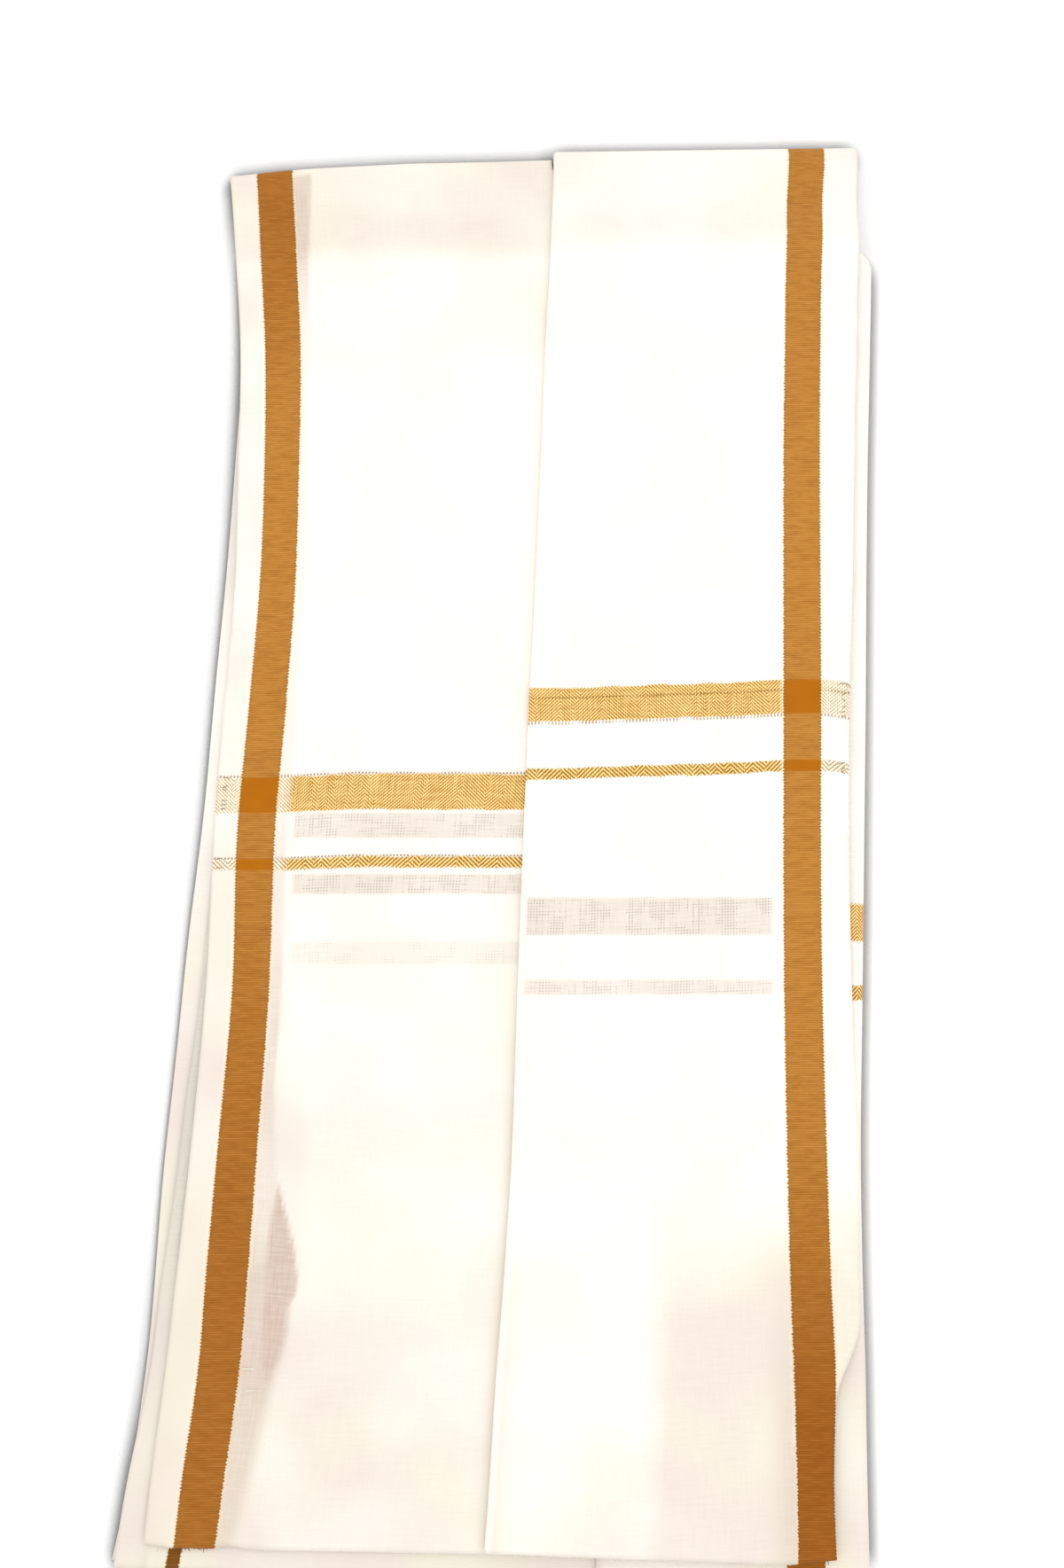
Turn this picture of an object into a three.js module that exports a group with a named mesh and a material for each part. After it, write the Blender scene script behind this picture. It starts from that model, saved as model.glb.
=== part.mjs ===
// A gamcha: a thin cotton cloth, about 0.76 m by 1.6 m, folded in four each way and laid flat.
// Millimetres. +Z is up from the surface it lies on, +X runs across the folded cloth to the right,
// and +Y runs along it to the outer top fold. The origin is under the middle of the folded cloth.
//
// Each stretch of the cloth that shows is one closed wall. The layers that don't show are one
// rounded solid, whose lower end shows the inner folds one above the other.

import * as THREE from "three";

// ---- Driving sizes ----

const WALL = 1.0; // thickness of one cloth wall
const GAP = 0.3; // clearance between two walls that lie on each other
const PITCH = WALL + GAP; // from one wall's face to the same face of the next

const PILE_HEIGHT = 8.6; // underside of the front stretches over the thick pile
const LEDGE_HEIGHT = 4.6; // the same along the left side, where only loose layers lie
const FOLD_HEIGHT = 3.0; // the same just inside the outer top fold
const PILE_EDGE_SPREAD = 8.5; // half the width over which the pile's left edge slopes down
const PILE_TOP_END = 175; // y where the thick pile ends, below the outer top fold
const FOLD_SLOPE = 20; // length over which the front slopes from the pile to the fold

const LEFT_FOLD_Y = { atLeft: 201.0, atRight: 206.0 }; // the outer top fold's line, left stretch
const RIGHT_FOLD_Y = { atLeft: 208.6, atRight: 209.8 }; // and right stretch, which lies over it
const LEFT_CUT_Y = -195.0; // raw cut end of the left stretch
const RIGHT_CUT_Y = -198.6; // raw cut end of the right stretch
const NEXT_CUT_Y = -203.5; // raw cut end of the layer under both
const CORE_END_Y = -209.6; // the lowest inner fold
const BACK_END_Y = -205.0; // lower end of the stretches on the underside
const LEFT_OVERLAP = 30; // how far the left stretch runs under the right one
const FLAP_SHORT = 4; // how far the right stretch's turned-back half stops short of its selvage
const UNDER_FLANGE = 14; // how far the right fold's lower edge reaches under the core

const EDGE_THINNING = 0.45; // thickness of a wall right at its edge, as a share of WALL
const EDGE_ROUND = 0.45; // how far in from the edge the wall has its full thickness
const CORNER_ROUND = 6; // radius of the right fold's top corner

// One row for each section across the folded cloth, from the top fold down. y is the section's
// place and the other columns are the x of an edge there: the selvages of the two front stretches,
// the centre fold between them (split), the two layers that peek out on the left (leftUnder and
// nextLeft), the left edge of the thick pile and the right side's turned fold.
const SECTION_COLUMNS = [
  "y", "leftSelvage", "leftUnder", "nextLeft", "pileLeft", "split", "rightSelvage", "rightFold",
];
const SECTIONS = [
  [205, -85.2, -81.0, -81.0, -59.0, 12.6, 104.7, 109.0],
  [175, -82.8, -80.0, -80.5, -59.3, 11.5, 104.3, 108.9],
  [145, -81.0, -79.6, -79.6, -59.7, 9.9, 102.9, 107.6],
  [110, -81.0, -82.0, -80.2, -60.3, 8.5, 101.3, 105.8],
  [75, -82.0, -84.4, -81.6, -61.3, 7.0, 99.9, 104.0],
  [35, -84.1, -86.5, -83.4, -63.8, 5.0, 97.9, 102.5],
  [0, -85.2, -89.6, -84.8, -65.0, 3.5, 97.5, 101.2],
  [-45, -88.2, -93.7, -88.2, -65.2, 1.8, 97.4, 99.9],
  [-90, -90.5, -97.1, -92.1, -66.0, 0.3, 97.9, 98.7],
  [-125, -92.3, -99.5, -96.8, -66.8, -1.9, 98.0, 98.3],
  [-150, -94.4, -101.5, -98.8, -67.2, -3.9, 92.0, 98.5],
  [-180, -98.0, -104.7, -103.2, -72.5, -5.8, 89.2, 98.7],
  [-210, -100.0, -110.0, -107.6, -77.0, -7.8, 89.0, 98.8],
].map((row) => Object.fromEntries(row.map((value, i) => [SECTION_COLUMNS[i], value])));

// Soft ridges and troughs of the pile: one row each, with its middle, the direction of its length
// in degrees from +X, its half length and half width, and its height.
const CREASES = [
  { x: 92, y: -150, turn: 62, halfLength: 26, halfWidth: 12, height: 0.3 },
  { x: 78, y: -172, turn: 88, halfLength: 30, halfWidth: 10, height: -0.3 },
  { x: -74, y: -120, turn: 84, halfLength: 70, halfWidth: 11, height: -0.4 },
  { x: 40, y: 60, turn: 80, halfLength: 90, halfWidth: 26, height: 0.4 },
  { x: -34, y: -30, turn: 96, halfLength: 80, halfWidth: 18, height: 0.35 },
  { x: 48, y: -110, turn: 102, halfLength: 60, halfWidth: 20, height: -0.4 },
  { x: -20, y: 150, turn: 10, halfLength: 50, halfWidth: 12, height: -0.3 },
];

// Layers that lie on each other share these rows of points, so that their faces stay parallel.
const SHARED_STEPS = 14;
const SHARED_END_Y = -188;
const STEPS_TO_FOLD = 4; // steps from the pile's top end to the outer top fold
const STEPS_ROUND_FOLD = 6; // steps round the outer top fold
const STEPS_ALONG_BACK = 12; // steps along the underside
const STEPS_ROUND_BEND = 5; // steps round a fold along the length

const COLOURS = {
  front: 0xfffdf2, // cream-white cotton
  under: 0xf3e9dc, // the same, in the pile's shade
  core: 0xede3d6,
};

// ---- Small helpers ----

const mix = (a, b, t) => a + (b - a) * t;
const clamp01 = (t) => Math.min(1, Math.max(0, t));
const smooth = (t) => clamp01(t) ** 2 * (3 - 2 * clamp01(t));

// A column of SECTIONS at any y: a smooth curve through its rows, straight past the last ones.
function edgeAt(column, y) {
  const rows = SECTIONS;
  const last = rows.length - 1;
  let i = rows.findIndex((row) => y >= row.y) - 1;
  if (y >= rows[0].y) i = 0;
  if (i < 0) i = last - 1;
  const slope = (k) => {
    const above = rows[Math.max(0, k - 1)];
    const below = rows[Math.min(last, k + 1)];
    return (above[column] - below[column]) / (above.y - below.y);
  };
  const a = rows[i];
  const b = rows[i + 1];
  const h = b.y - a.y;
  const t = Math.min(1, Math.max(0, (y - a.y) / h));
  const t2 = t * t;
  const t3 = t2 * t;
  return (
    (2 * t3 - 3 * t2 + 1) * a[column] +
    (t3 - 2 * t2 + t) * h * slope(i) +
    (3 * t2 - 2 * t3) * b[column] +
    (t3 - t2) * h * slope(i + 1)
  );
}

// Height that the creases add at a place: a smooth hump along each one's own direction.
function creaseHeight(x, y) {
  let height = 0;
  for (const crease of CREASES) {
    const turn = THREE.MathUtils.degToRad(crease.turn);
    const along = (x - crease.x) * Math.cos(turn) + (y - crease.y) * Math.sin(turn);
    const across = (y - crease.y) * Math.cos(turn) - (x - crease.x) * Math.sin(turn);
    const reach = (along / crease.halfLength) ** 2 + (across / crease.halfWidth) ** 2;
    height += crease.height * Math.exp(-reach);
  }
  return height;
}

// The right fold rests on the two underside layers. Its round side turns about an axis that lies
// one radius inside its outermost x.
const FOLD_BOTTOM = 2 * PITCH;
const FOLD_RADIUS = (PILE_HEIGHT + WALL - FOLD_BOTTOM) / 2;
const foldAxisX = (y) => edgeAt("rightFold", y) - FOLD_RADIUS;

// How far the right fold's rounded top corner is drawn in at y.
function cornerInset(y) {
  const toCorner = clamp01((y - PILE_TOP_END + CORNER_ROUND) / CORNER_ROUND);
  return CORNER_ROUND * (1 - Math.sqrt(1 - toCorner ** 2));
}

// Underside of the front stretches over the pile at a place: level over the thick pile, sloping
// down past its left edge and towards the top fold, rounded over the right fold, and creased.
function pileHeight(x, y) {
  const overEdge = smooth((x - edgeAt("pileLeft", y) + PILE_EDGE_SPREAD) / (2 * PILE_EDGE_SPREAD));
  const level = mix(LEDGE_HEIGHT, PILE_HEIGHT, overEdge);
  const beyond = Math.min(0.75, Math.max(0, (x - foldAxisX(y)) / FOLD_RADIUS));
  const rounded = level - FOLD_RADIUS * (1 - Math.sqrt(1 - beyond * beyond));
  const creased = rounded + creaseHeight(x, y);
  const towardsFold = smooth((y - PILE_TOP_END) / FOLD_SLOPE);
  return mix(creased, FOLD_HEIGHT, towardsFold);
}

// A closed wall from two grids of points that face each other, stitched along their four borders.
// pointAt(row, column, side) gives [x, y, z], side 0 on the outer face and 1 on the inner one.
function wallGeometry(rows, columns, pointAt) {
  const positions = [];
  const faces = [];
  const at = (row, column, side) => (row * columns + column) * 2 + side;
  for (let row = 0; row < rows; row++) {
    for (let column = 0; column < columns; column++) {
      positions.push(...pointAt(row, column, 0), ...pointAt(row, column, 1));
    }
  }
  const quad = (a, b, c, d) => faces.push(a, b, c, a, c, d);
  for (let row = 0; row < rows - 1; row++) {
    for (let column = 0; column < columns - 1; column++) {
      quad(at(row, column, 0), at(row, column + 1, 0), at(row + 1, column + 1, 0), at(row + 1, column, 0));
      quad(at(row, column, 1), at(row + 1, column, 1), at(row + 1, column + 1, 1), at(row, column + 1, 1));
    }
  }
  for (let row = 0; row < rows - 1; row++) {
    const end = columns - 1;
    quad(at(row, 0, 0), at(row + 1, 0, 0), at(row + 1, 0, 1), at(row, 0, 1));
    quad(at(row, end, 0), at(row, end, 1), at(row + 1, end, 1), at(row + 1, end, 0));
  }
  for (let column = 0; column < columns - 1; column++) {
    const end = rows - 1;
    quad(at(0, column, 0), at(0, column, 1), at(0, column + 1, 1), at(0, column + 1, 0));
    quad(at(end, column, 0), at(end, column + 1, 0), at(end, column + 1, 1), at(end, column, 1));
  }
  return solidGeometry(positions, faces);
}

// A BufferGeometry whose faces point out, whichever way round its grid was made.
function solidGeometry(positions, faces) {
  const corner = (i) => new THREE.Vector3(...positions.slice(3 * i, 3 * i + 3));
  let volume = 0;
  for (let i = 0; i < faces.length; i += 3) {
    const [a, b, c] = [corner(faces[i]), corner(faces[i + 1]), corner(faces[i + 2])];
    volume += a.dot(b.cross(c));
  }
  if (volume < 0) faces.reverse();
  const geometry = new THREE.BufferGeometry();
  geometry.setAttribute("position", new THREE.Float32BufferAttribute(positions, 3));
  geometry.setIndex(faces);
  geometry.computeVertexNormals();
  return geometry;
}

// Depths of a wall's two faces below the face that its stretch shows: thinner at its very edges.
function wallDepths(depth, toEdge) {
  const full = clamp01(toEdge / EDGE_ROUND);
  const thickness = WALL * mix(EDGE_THINNING, 1, full);
  const middle = depth + WALL / 2;
  return [middle - thickness / 2, middle + thickness / 2];
}

function clothMesh(name, geometry, colour) {
  const material = new THREE.MeshStandardMaterial({ color: colour, roughness: 0.9, metalness: 0 });
  const mesh = new THREE.Mesh(geometry, material);
  mesh.name = name;
  return mesh;
}

// The shared rows' y, from the pile's top end down.
const SHARED_YS = [];
for (let i = 0; i <= SHARED_STEPS; i++) {
  SHARED_YS.push(mix(PILE_TOP_END, SHARED_END_Y, i / SHARED_STEPS));
}

// ---- The two front stretches ----
// Each runs from its cut end up over the pile, round the outer top fold and back flat on the
// surface. A row is a place on that way, and a point of it lies at a depth below the outer face.

// Rows of a front stretch: y up the front, shares of the slope to the fold, angles round the fold,
// then shares of the underside. Its two ends each have one row more, where the wall thins.
function stretchRows(cutY) {
  const fullBack = 1 - EDGE_ROUND / (LEFT_FOLD_Y.atLeft - BACK_END_Y);
  const rows = [
    { part: "front", y: cutY, thin: true },
    { part: "front", y: cutY + EDGE_ROUND },
  ];
  SHARED_YS.toReversed().forEach((y) => rows.push({ part: "front", y }));
  for (let i = 1; i <= STEPS_TO_FOLD; i++) rows.push({ part: "slope", share: i / STEPS_TO_FOLD });
  for (let i = 1; i < STEPS_ROUND_FOLD; i++) {
    rows.push({ part: "fold", angle: (Math.PI * i) / STEPS_ROUND_FOLD });
  }
  for (let i = 0; i <= STEPS_ALONG_BACK; i++) {
    rows.push({ part: "back", share: (i / STEPS_ALONG_BACK) * fullBack });
  }
  rows.push({ part: "back", share: 1, thin: true });
  return rows;
}

// The outer top fold's y at x, between a stretch's left and right ends there.
function foldLineY(line, leftColumn, rightColumn, x) {
  const left = edgeAt(leftColumn, line.atLeft);
  const right = edgeAt(rightColumn, line.atRight);
  return mix(line.atLeft, line.atRight, clamp01((x - left) / (right - left)));
}

// y of a row's points, where the fold turns at turnY.
function rowY(row, turnY) {
  if (row.part === "front") return row.y;
  if (row.part === "slope") return mix(PILE_TOP_END, turnY, row.share);
  if (row.part === "back") return mix(turnY, BACK_END_Y, row.share);
  return turnY;
}

// A point of a front stretch at x, `depth` below its outer face, in a row.
function stretchPoint(row, x, depth, foldY, topHeight) {
  const radius = (FOLD_HEIGHT + topHeight) / 2;
  const y = rowY(row, foldY - radius);
  if (row.part === "back") return [x, y, depth];
  if (row.part !== "fold") return [x, y, pileHeight(x, y) + topHeight - depth];
  const reach = radius - depth;
  return [x, y + reach * Math.sin(row.angle), radius + reach * Math.cos(row.angle)];
}

// The left stretch: from its selvage over the pile's left edge and on under the right stretch.
// Round the fold and on the underside it ends at the centre instead.
function leftFront() {
  const rows = stretchRows(LEFT_CUT_Y);
  const foldY = (x) => foldLineY(LEFT_FOLD_Y, "leftSelvage", "split", x);
  const columnsAt = (y, hiddenShare) => {
    const left = edgeAt("leftSelvage", y);
    const pile = edgeAt("pileLeft", y);
    const split = edgeAt("split", y);
    const right = split + mix(-GAP, LEFT_OVERLAP, hiddenShare);
    return [
      left,
      left + EDGE_ROUND,
      mix(left, pile - PILE_EDGE_SPREAD, 0.5),
      pile - PILE_EDGE_SPREAD,
      pile - PILE_EDGE_SPREAD / 3,
      pile + PILE_EDGE_SPREAD / 3,
      pile + PILE_EDGE_SPREAD,
      mix(pile, split, 0.4),
      mix(pile, split, 0.7),
      split - 6,
      mix(split - 6, right, 0.5),
      right - EDGE_ROUND,
      right,
    ];
  };
  const pointAt = (rowIndex, column, side) => {
    const row = rows[rowIndex];
    const y = rowY(row, LEFT_FOLD_Y.atLeft);
    const hiddenShare = row.part === "front" && y < PILE_TOP_END ? 1 : 0;
    const xs = columnsAt(y, hiddenShare);
    const x = xs[column];
    const toEdge = row.thin ? 0 : Math.min(x - xs[0], xs[xs.length - 1] - x);
    const depth = wallDepths(0, toEdge)[side];
    return stretchPoint(row, x, depth, foldY(x), WALL);
  };
  return clothMesh("left_front", wallGeometry(rows.length, 13, pointAt), COLOURS.front);
}

// The right stretch: from its selvage to the soft centre fold, and back under itself.
function rightFront() {
  const rows = stretchRows(RIGHT_CUT_Y);
  const foldY = (x) => foldLineY(RIGHT_FOLD_Y, "split", "rightSelvage", x);
  const bendRadius = (WALL + PITCH) / 2;
  const shares = [0.12, 0.3, 0.5, 0.7, 0.85]; // places across, from the selvage to the centre fold
  // Its section at y, from the selvage to the fold and back: [x, depth] of the outer and inner face.
  const sectionAt = (y, thin) => {
    const selvage = edgeAt("rightSelvage", y);
    const bendX = edgeAt("split", y) + bendRadius;
    const flapEnd = selvage - FLAP_SHORT;
    const section = [];
    // Under the bend the wall is turned over, so its outer face is the lower one.
    const flat = (x, toEdge, turned) => {
      const [upper, lower] = wallDepths(turned ? PITCH : 0, thin ? 0 : toEdge);
      section.push(turned ? [[x, lower], [x, upper]] : [[x, upper], [x, lower]]);
    };
    flat(selvage, 0, false);
    flat(selvage - EDGE_ROUND, EDGE_ROUND, false);
    shares.forEach((share) => flat(mix(selvage, bendX, share), EDGE_ROUND, false));
    const thickness = thin ? WALL * EDGE_THINNING : WALL;
    const middle = bendRadius - WALL / 2;
    for (let i = 0; i <= STEPS_ROUND_BEND; i++) {
      const angle = (Math.PI * i) / STEPS_ROUND_BEND;
      const round = (r) => [bendX - r * Math.sin(angle), bendRadius - r * Math.cos(angle)];
      section.push([round(middle + thickness / 2), round(middle - thickness / 2)]);
    }
    shares.slice(1).forEach((share) => flat(mix(bendX, flapEnd, share), EDGE_ROUND, true));
    flat(flapEnd - EDGE_ROUND, EDGE_ROUND, true);
    flat(flapEnd, 0, true);
    return section;
  };
  const count = sectionAt(0, false).length;
  const pointAt = (rowIndex, column, side) => {
    const row = rows[rowIndex];
    const y = rowY(row, RIGHT_FOLD_Y.atLeft);
    const [x, depth] = sectionAt(y, row.thin)[column][side];
    return stretchPoint(row, x, depth, foldY(x), WALL + 2 * PITCH);
  };
  return clothMesh("right_front", wallGeometry(rows.length, count, pointAt), COLOURS.front);
}

// ---- The layers under them ----

// Rows of y for a layer that lies in the pile, from its cut end to the pile's top end, with a
// thin row at each end.
function layerRows(cutY) {
  return [
    { y: cutY, thin: true },
    { y: cutY + EDGE_ROUND },
    ...SHARED_YS.slice(1).toReversed().map((y) => ({ y })),
    { y: PILE_TOP_END - EDGE_ROUND },
    { y: PILE_TOP_END, thin: true },
  ];
}

// How far a loose layer sags outside the edge that it lies on, to the surface or a layer below.
const SAG_WIDTH = 9;
const sagPast = (x, edgeX, most) => most * clamp01((edgeX - x) / SAG_WIDTH);

// A flat layer across the pile, `below` under the front stretches, between the columns' x.
function pileLayer(name, cutY, below, sag, columnsAt) {
  const rows = layerRows(cutY);
  const pointAt = (rowIndex, column, side) => {
    const { y, thin } = rows[rowIndex];
    const xs = columnsAt(y);
    const x = xs[column];
    const toEdge = thin ? 0 : Math.min(x - xs[0], xs[xs.length - 1] - x);
    const depth = below + wallDepths(0, toEdge)[side];
    return [x, y, pileHeight(x, y) - depth - sagPast(x, edgeAt("leftSelvage", y), sag)];
  };
  return clothMesh(name, wallGeometry(rows.length, columnsAt(0).length, pointAt), COLOURS.under);
}

// Loose layers sag from their own level down to the surface, or to the layer that is there.
const LEFT_UNDER_BELOW = GAP + PITCH;
const LEFT_UNDER_SAG = LEDGE_HEIGHT - LEFT_UNDER_BELOW - WALL;

function nextFront() {
  return pileLayer("next_front", NEXT_CUT_Y, GAP, LEFT_UNDER_SAG, (y) => {
    const left = edgeAt("nextLeft", y);
    const pile = edgeAt("pileLeft", y);
    const split = edgeAt("split", y);
    const right = foldAxisX(y) - cornerInset(y) - 1;
    return [
      left,
      left + EDGE_ROUND,
      Math.max(left + 1, edgeAt("leftSelvage", y)),
      mix(edgeAt("leftSelvage", y), pile - PILE_EDGE_SPREAD, 0.5),
      pile - PILE_EDGE_SPREAD,
      pile - PILE_EDGE_SPREAD / 3,
      pile + PILE_EDGE_SPREAD / 3,
      pile + PILE_EDGE_SPREAD,
      mix(pile, split, 0.4),
      mix(pile, split, 0.7),
      split,
      mix(split, right, 0.35),
      mix(split, right, 0.7),
      right - EDGE_ROUND,
      right,
    ];
  });
}

function leftUnder() {
  return pileLayer("left_under", NEXT_CUT_Y + 1.5, LEFT_UNDER_BELOW, LEFT_UNDER_SAG, (y) => {
    const left = edgeAt("leftUnder", y);
    const right = edgeAt("pileLeft", y) - PILE_EDGE_SPREAD;
    return [
      left,
      left + EDGE_ROUND,
      Math.max(left + 1, edgeAt("leftSelvage", y)),
      mix(edgeAt("leftSelvage", y), right, 0.5),
      right - EDGE_ROUND,
      right,
    ];
  });
}

// The turned fold along the right side: a U on its side, open to the left, round the core.
function rightUnder() {
  const rows = layerRows(NEXT_CUT_Y + 0.6);
  const cornerRows = [0.95, 0.8, 0.5, 0.1].map((share) => ({ y: PILE_TOP_END - CORNER_ROUND * (1 - share) }));
  rows.splice(rows.length - 2, 1, ...cornerRows.reverse());
  const sectionAt = (y, thin) => {
    const half = thin ? (WALL * (1 - EDGE_THINNING)) / 2 : 0;
    const centreX = foldAxisX(y) - cornerInset(y);
    const startX = edgeAt("split", y) + LEFT_OVERLAP + 2 * GAP;
    const endX = foldAxisX(y) - UNDER_FLANGE;
    const section = [];
    for (const share of [0, 0.02, 0.35, 0.7, 1]) {
      const x = mix(startX, centreX, share);
      const top = pileHeight(x, y) + WALL;
      section.push([[x, top - half], [x, top - WALL + half]]);
    }
    const topHere = pileHeight(centreX, y) + WALL;
    const radius = (topHere - FOLD_BOTTOM) / 2;
    for (let i = 1; i <= STEPS_ROUND_BEND + 1; i++) {
      const angle = (Math.PI * i) / (STEPS_ROUND_BEND + 1);
      const round = (r) => [centreX + r * Math.sin(angle), FOLD_BOTTOM + radius + r * Math.cos(angle)];
      section.push([round(radius - half), round(radius - WALL + half)]);
    }
    section.push([[endX, FOLD_BOTTOM + half], [endX, FOLD_BOTTOM + WALL - half]]);
    return section;
  };
  const count = sectionAt(0, false).length;
  const pointAt = (rowIndex, column, side) => {
    const { y, thin } = rows[rowIndex];
    const [x, z] = sectionAt(y, thin)[column][side];
    return [x, y, z];
  };
  return clothMesh("right_under", wallGeometry(rows.length, count, pointAt), COLOURS.under);
}

// ---- The hidden layers ----

// Inner folds at the core's lower end, from the top down: how far each stops short of the lowest
// one's end, and its share of the thickness.
const INNER_FOLDS = [
  { short: 1.6, share: 0.34 },
  { short: 0.0, share: 0.36 },
  { short: 0.9, share: 0.3 },
];
const NOTCH_DEPTH = 1.1; // depth of the groove between two inner folds
const CORE_TOP_ROUND = 2; // how far in the core's top end is rounded

// Rows of the core between its rounded top end and the inner folds.
const CORE_YS = [PILE_TOP_END - CORE_TOP_ROUND, ...SHARED_YS.slice(1), CORE_END_Y + 4];

// The core's outline at x, as [y, z] all round: its top from the pile's top end down, the inner
// folds at its lower end, its underside, and a rounded top end.
function coreOutline(columnX, underside) {
  const top = (y) => pileHeight(columnX(y), y) - GAP - PITCH;
  const outline = CORE_YS.map((y) => [y, top(y)]);
  let upper = top(CORE_END_Y + 4);
  const thickness = upper - underside;
  INNER_FOLDS.forEach((fold, index) => {
    const height = thickness * fold.share;
    for (const angle of [45, 90, 135]) {
      const turn = THREE.MathUtils.degToRad(angle);
      const y = CORE_END_Y + fold.short + (1 - Math.sin(turn)) * NOTCH_DEPTH;
      outline.push([y, upper - (height * (1 - Math.cos(turn))) / 2]);
    }
    upper -= height;
    if (index < INNER_FOLDS.length - 1) outline.push([CORE_END_Y + fold.short + NOTCH_DEPTH + 0.8, upper]);
  });
  CORE_YS.toReversed().forEach((y) => outline.push([y, underside]));
  outline.push([PILE_TOP_END - 0.4, mix(underside, top(PILE_TOP_END), 0.3)]);
  outline.push([PILE_TOP_END - 0.4, mix(underside, top(PILE_TOP_END), 0.7)]);
  return outline;
}

function foldedCore() {
  const leftX = (y) => edgeAt("pileLeft", y) - PILE_EDGE_SPREAD + 2 * GAP;
  const split = (y) => edgeAt("split", y);
  const rightX = (y) => foldAxisX(y) - cornerInset(y) - 1;
  // Each column's x and the height of the core's underside there: over one underside layer on
  // the left, over two right of the centre, and over the right fold's lower edge at the end.
  const columns = [
    { x: leftX, underside: PITCH + 0.5 },
    { x: (y) => leftX(y) + 1.2, underside: PITCH },
    { x: (y) => edgeAt("pileLeft", y) - PILE_EDGE_SPREAD / 3, underside: PITCH },
    { x: (y) => edgeAt("pileLeft", y) + PILE_EDGE_SPREAD / 3, underside: PITCH },
    { x: (y) => edgeAt("pileLeft", y) + PILE_EDGE_SPREAD, underside: PITCH },
    { x: (y) => mix(edgeAt("pileLeft", y), split(y), 0.6), underside: PITCH },
    { x: (y) => split(y) - 2, underside: PITCH },
    { x: (y) => split(y) - GAP, underside: 2 * PITCH },
    { x: (y) => mix(split(y), rightX(y), 0.35), underside: 2 * PITCH },
    { x: (y) => mix(split(y), rightX(y), 0.7), underside: 2 * PITCH },
    { x: (y) => foldAxisX(y) - UNDER_FLANGE - 2, underside: 2 * PITCH },
    { x: (y) => foldAxisX(y) - UNDER_FLANGE - GAP, underside: 3 * PITCH },
    { x: (y) => rightX(y) - 1, underside: 3 * PITCH },
    { x: rightX, underside: 3 * PITCH + 0.5 },
  ];
  const positions = [];
  const faces = [];
  const outlines = columns.map(({ x, underside }) => coreOutline(x, underside));
  const ring = outlines[0].length;
  outlines.forEach((outline, k) => {
    outline.forEach(([y, z]) => positions.push(columns[k].x(y), y, z));
  });
  for (let k = 0; k < columns.length - 1; k++) {
    for (let i = 0; i < ring; i++) {
      const j = (i + 1) % ring;
      const [a, b, c, d] = [k * ring + i, k * ring + j, (k + 1) * ring + j, (k + 1) * ring + i];
      faces.push(a, b, c, a, c, d);
    }
  }
  // The two side ends: quads between the top and the underside, and a fan over each end's outline.
  const count = CORE_YS.length;
  const lastUnder = ring - 3 - (count - 1);
  for (const k of [0, columns.length - 1]) {
    const side = [];
    for (let i = 0; i < count - 1; i++) {
      const below = ring - 3 - i;
      side.push([i, i + 1, below - 1], [i, below - 1, below]);
    }
    const endRing = [];
    for (let i = count - 1; i <= lastUnder; i++) endRing.push(i);
    const contour = endRing.map((i) => new THREE.Vector2(...outlines[k][i]));
    const cut = THREE.ShapeUtils.triangulateShape(contour, []);
    side.push(...cut.map((face) => face.map((i) => endRing[i])));
    side.push([0, ring - 3, ring - 2], [0, ring - 2, ring - 1]);
    for (const [a, b, c] of side) {
      const face = k === 0 ? [c, b, a] : [a, b, c];
      faces.push(...face.map((i) => k * ring + i));
    }
  }
  return clothMesh("folded_core", solidGeometry(positions, faces), COLOURS.core);
}

// ---- The folded cloth ----

const gamcha = new THREE.Group();
gamcha.add(foldedCore(), leftUnder(), nextFront(), rightUnder(), leftFront(), rightFront());

export default gamcha;
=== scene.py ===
import math
from functools import partial

import bpy
import numpy as np
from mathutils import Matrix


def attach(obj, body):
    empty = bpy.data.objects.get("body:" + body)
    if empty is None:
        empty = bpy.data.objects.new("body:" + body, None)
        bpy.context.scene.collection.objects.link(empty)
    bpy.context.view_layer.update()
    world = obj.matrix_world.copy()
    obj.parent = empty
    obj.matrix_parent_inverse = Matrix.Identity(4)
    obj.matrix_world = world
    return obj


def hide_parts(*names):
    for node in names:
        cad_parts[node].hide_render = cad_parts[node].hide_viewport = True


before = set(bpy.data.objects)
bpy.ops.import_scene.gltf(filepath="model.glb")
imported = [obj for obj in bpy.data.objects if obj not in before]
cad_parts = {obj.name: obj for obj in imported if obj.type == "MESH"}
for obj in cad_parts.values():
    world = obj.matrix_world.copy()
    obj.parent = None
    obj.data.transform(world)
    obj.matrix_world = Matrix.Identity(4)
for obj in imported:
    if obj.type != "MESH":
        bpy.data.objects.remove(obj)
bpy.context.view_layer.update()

# ---- Camera, surface and light ----
# The folded cloth lies on a pale surface, which carries a painted contact shadow, and is seen from
# almost straight above. A wide soft lamp hangs over its upper half; the cloth's dimming towards its
# ends is painted shade in its colours, with a little from the lamp.

scene = bpy.context.scene
scene.view_settings.view_transform = "Standard"
MM = 0.001  # every length below is in millimetres, as a maker measures, and a mesh is in metres


def linear(srgb_hex, alpha=1.0):
    """Linear RGBA of an sRGB hex colour: the two-part sRGB curve, undone channel by channel."""
    channels = [int(srgb_hex[i : i + 2], 16) / 255 for i in (1, 3, 5)]
    undone = [c / 12.92 if c <= 0.04045 else ((c + 0.055) / 1.055) ** 2.4 for c in channels]
    return (*undone, alpha)


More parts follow.
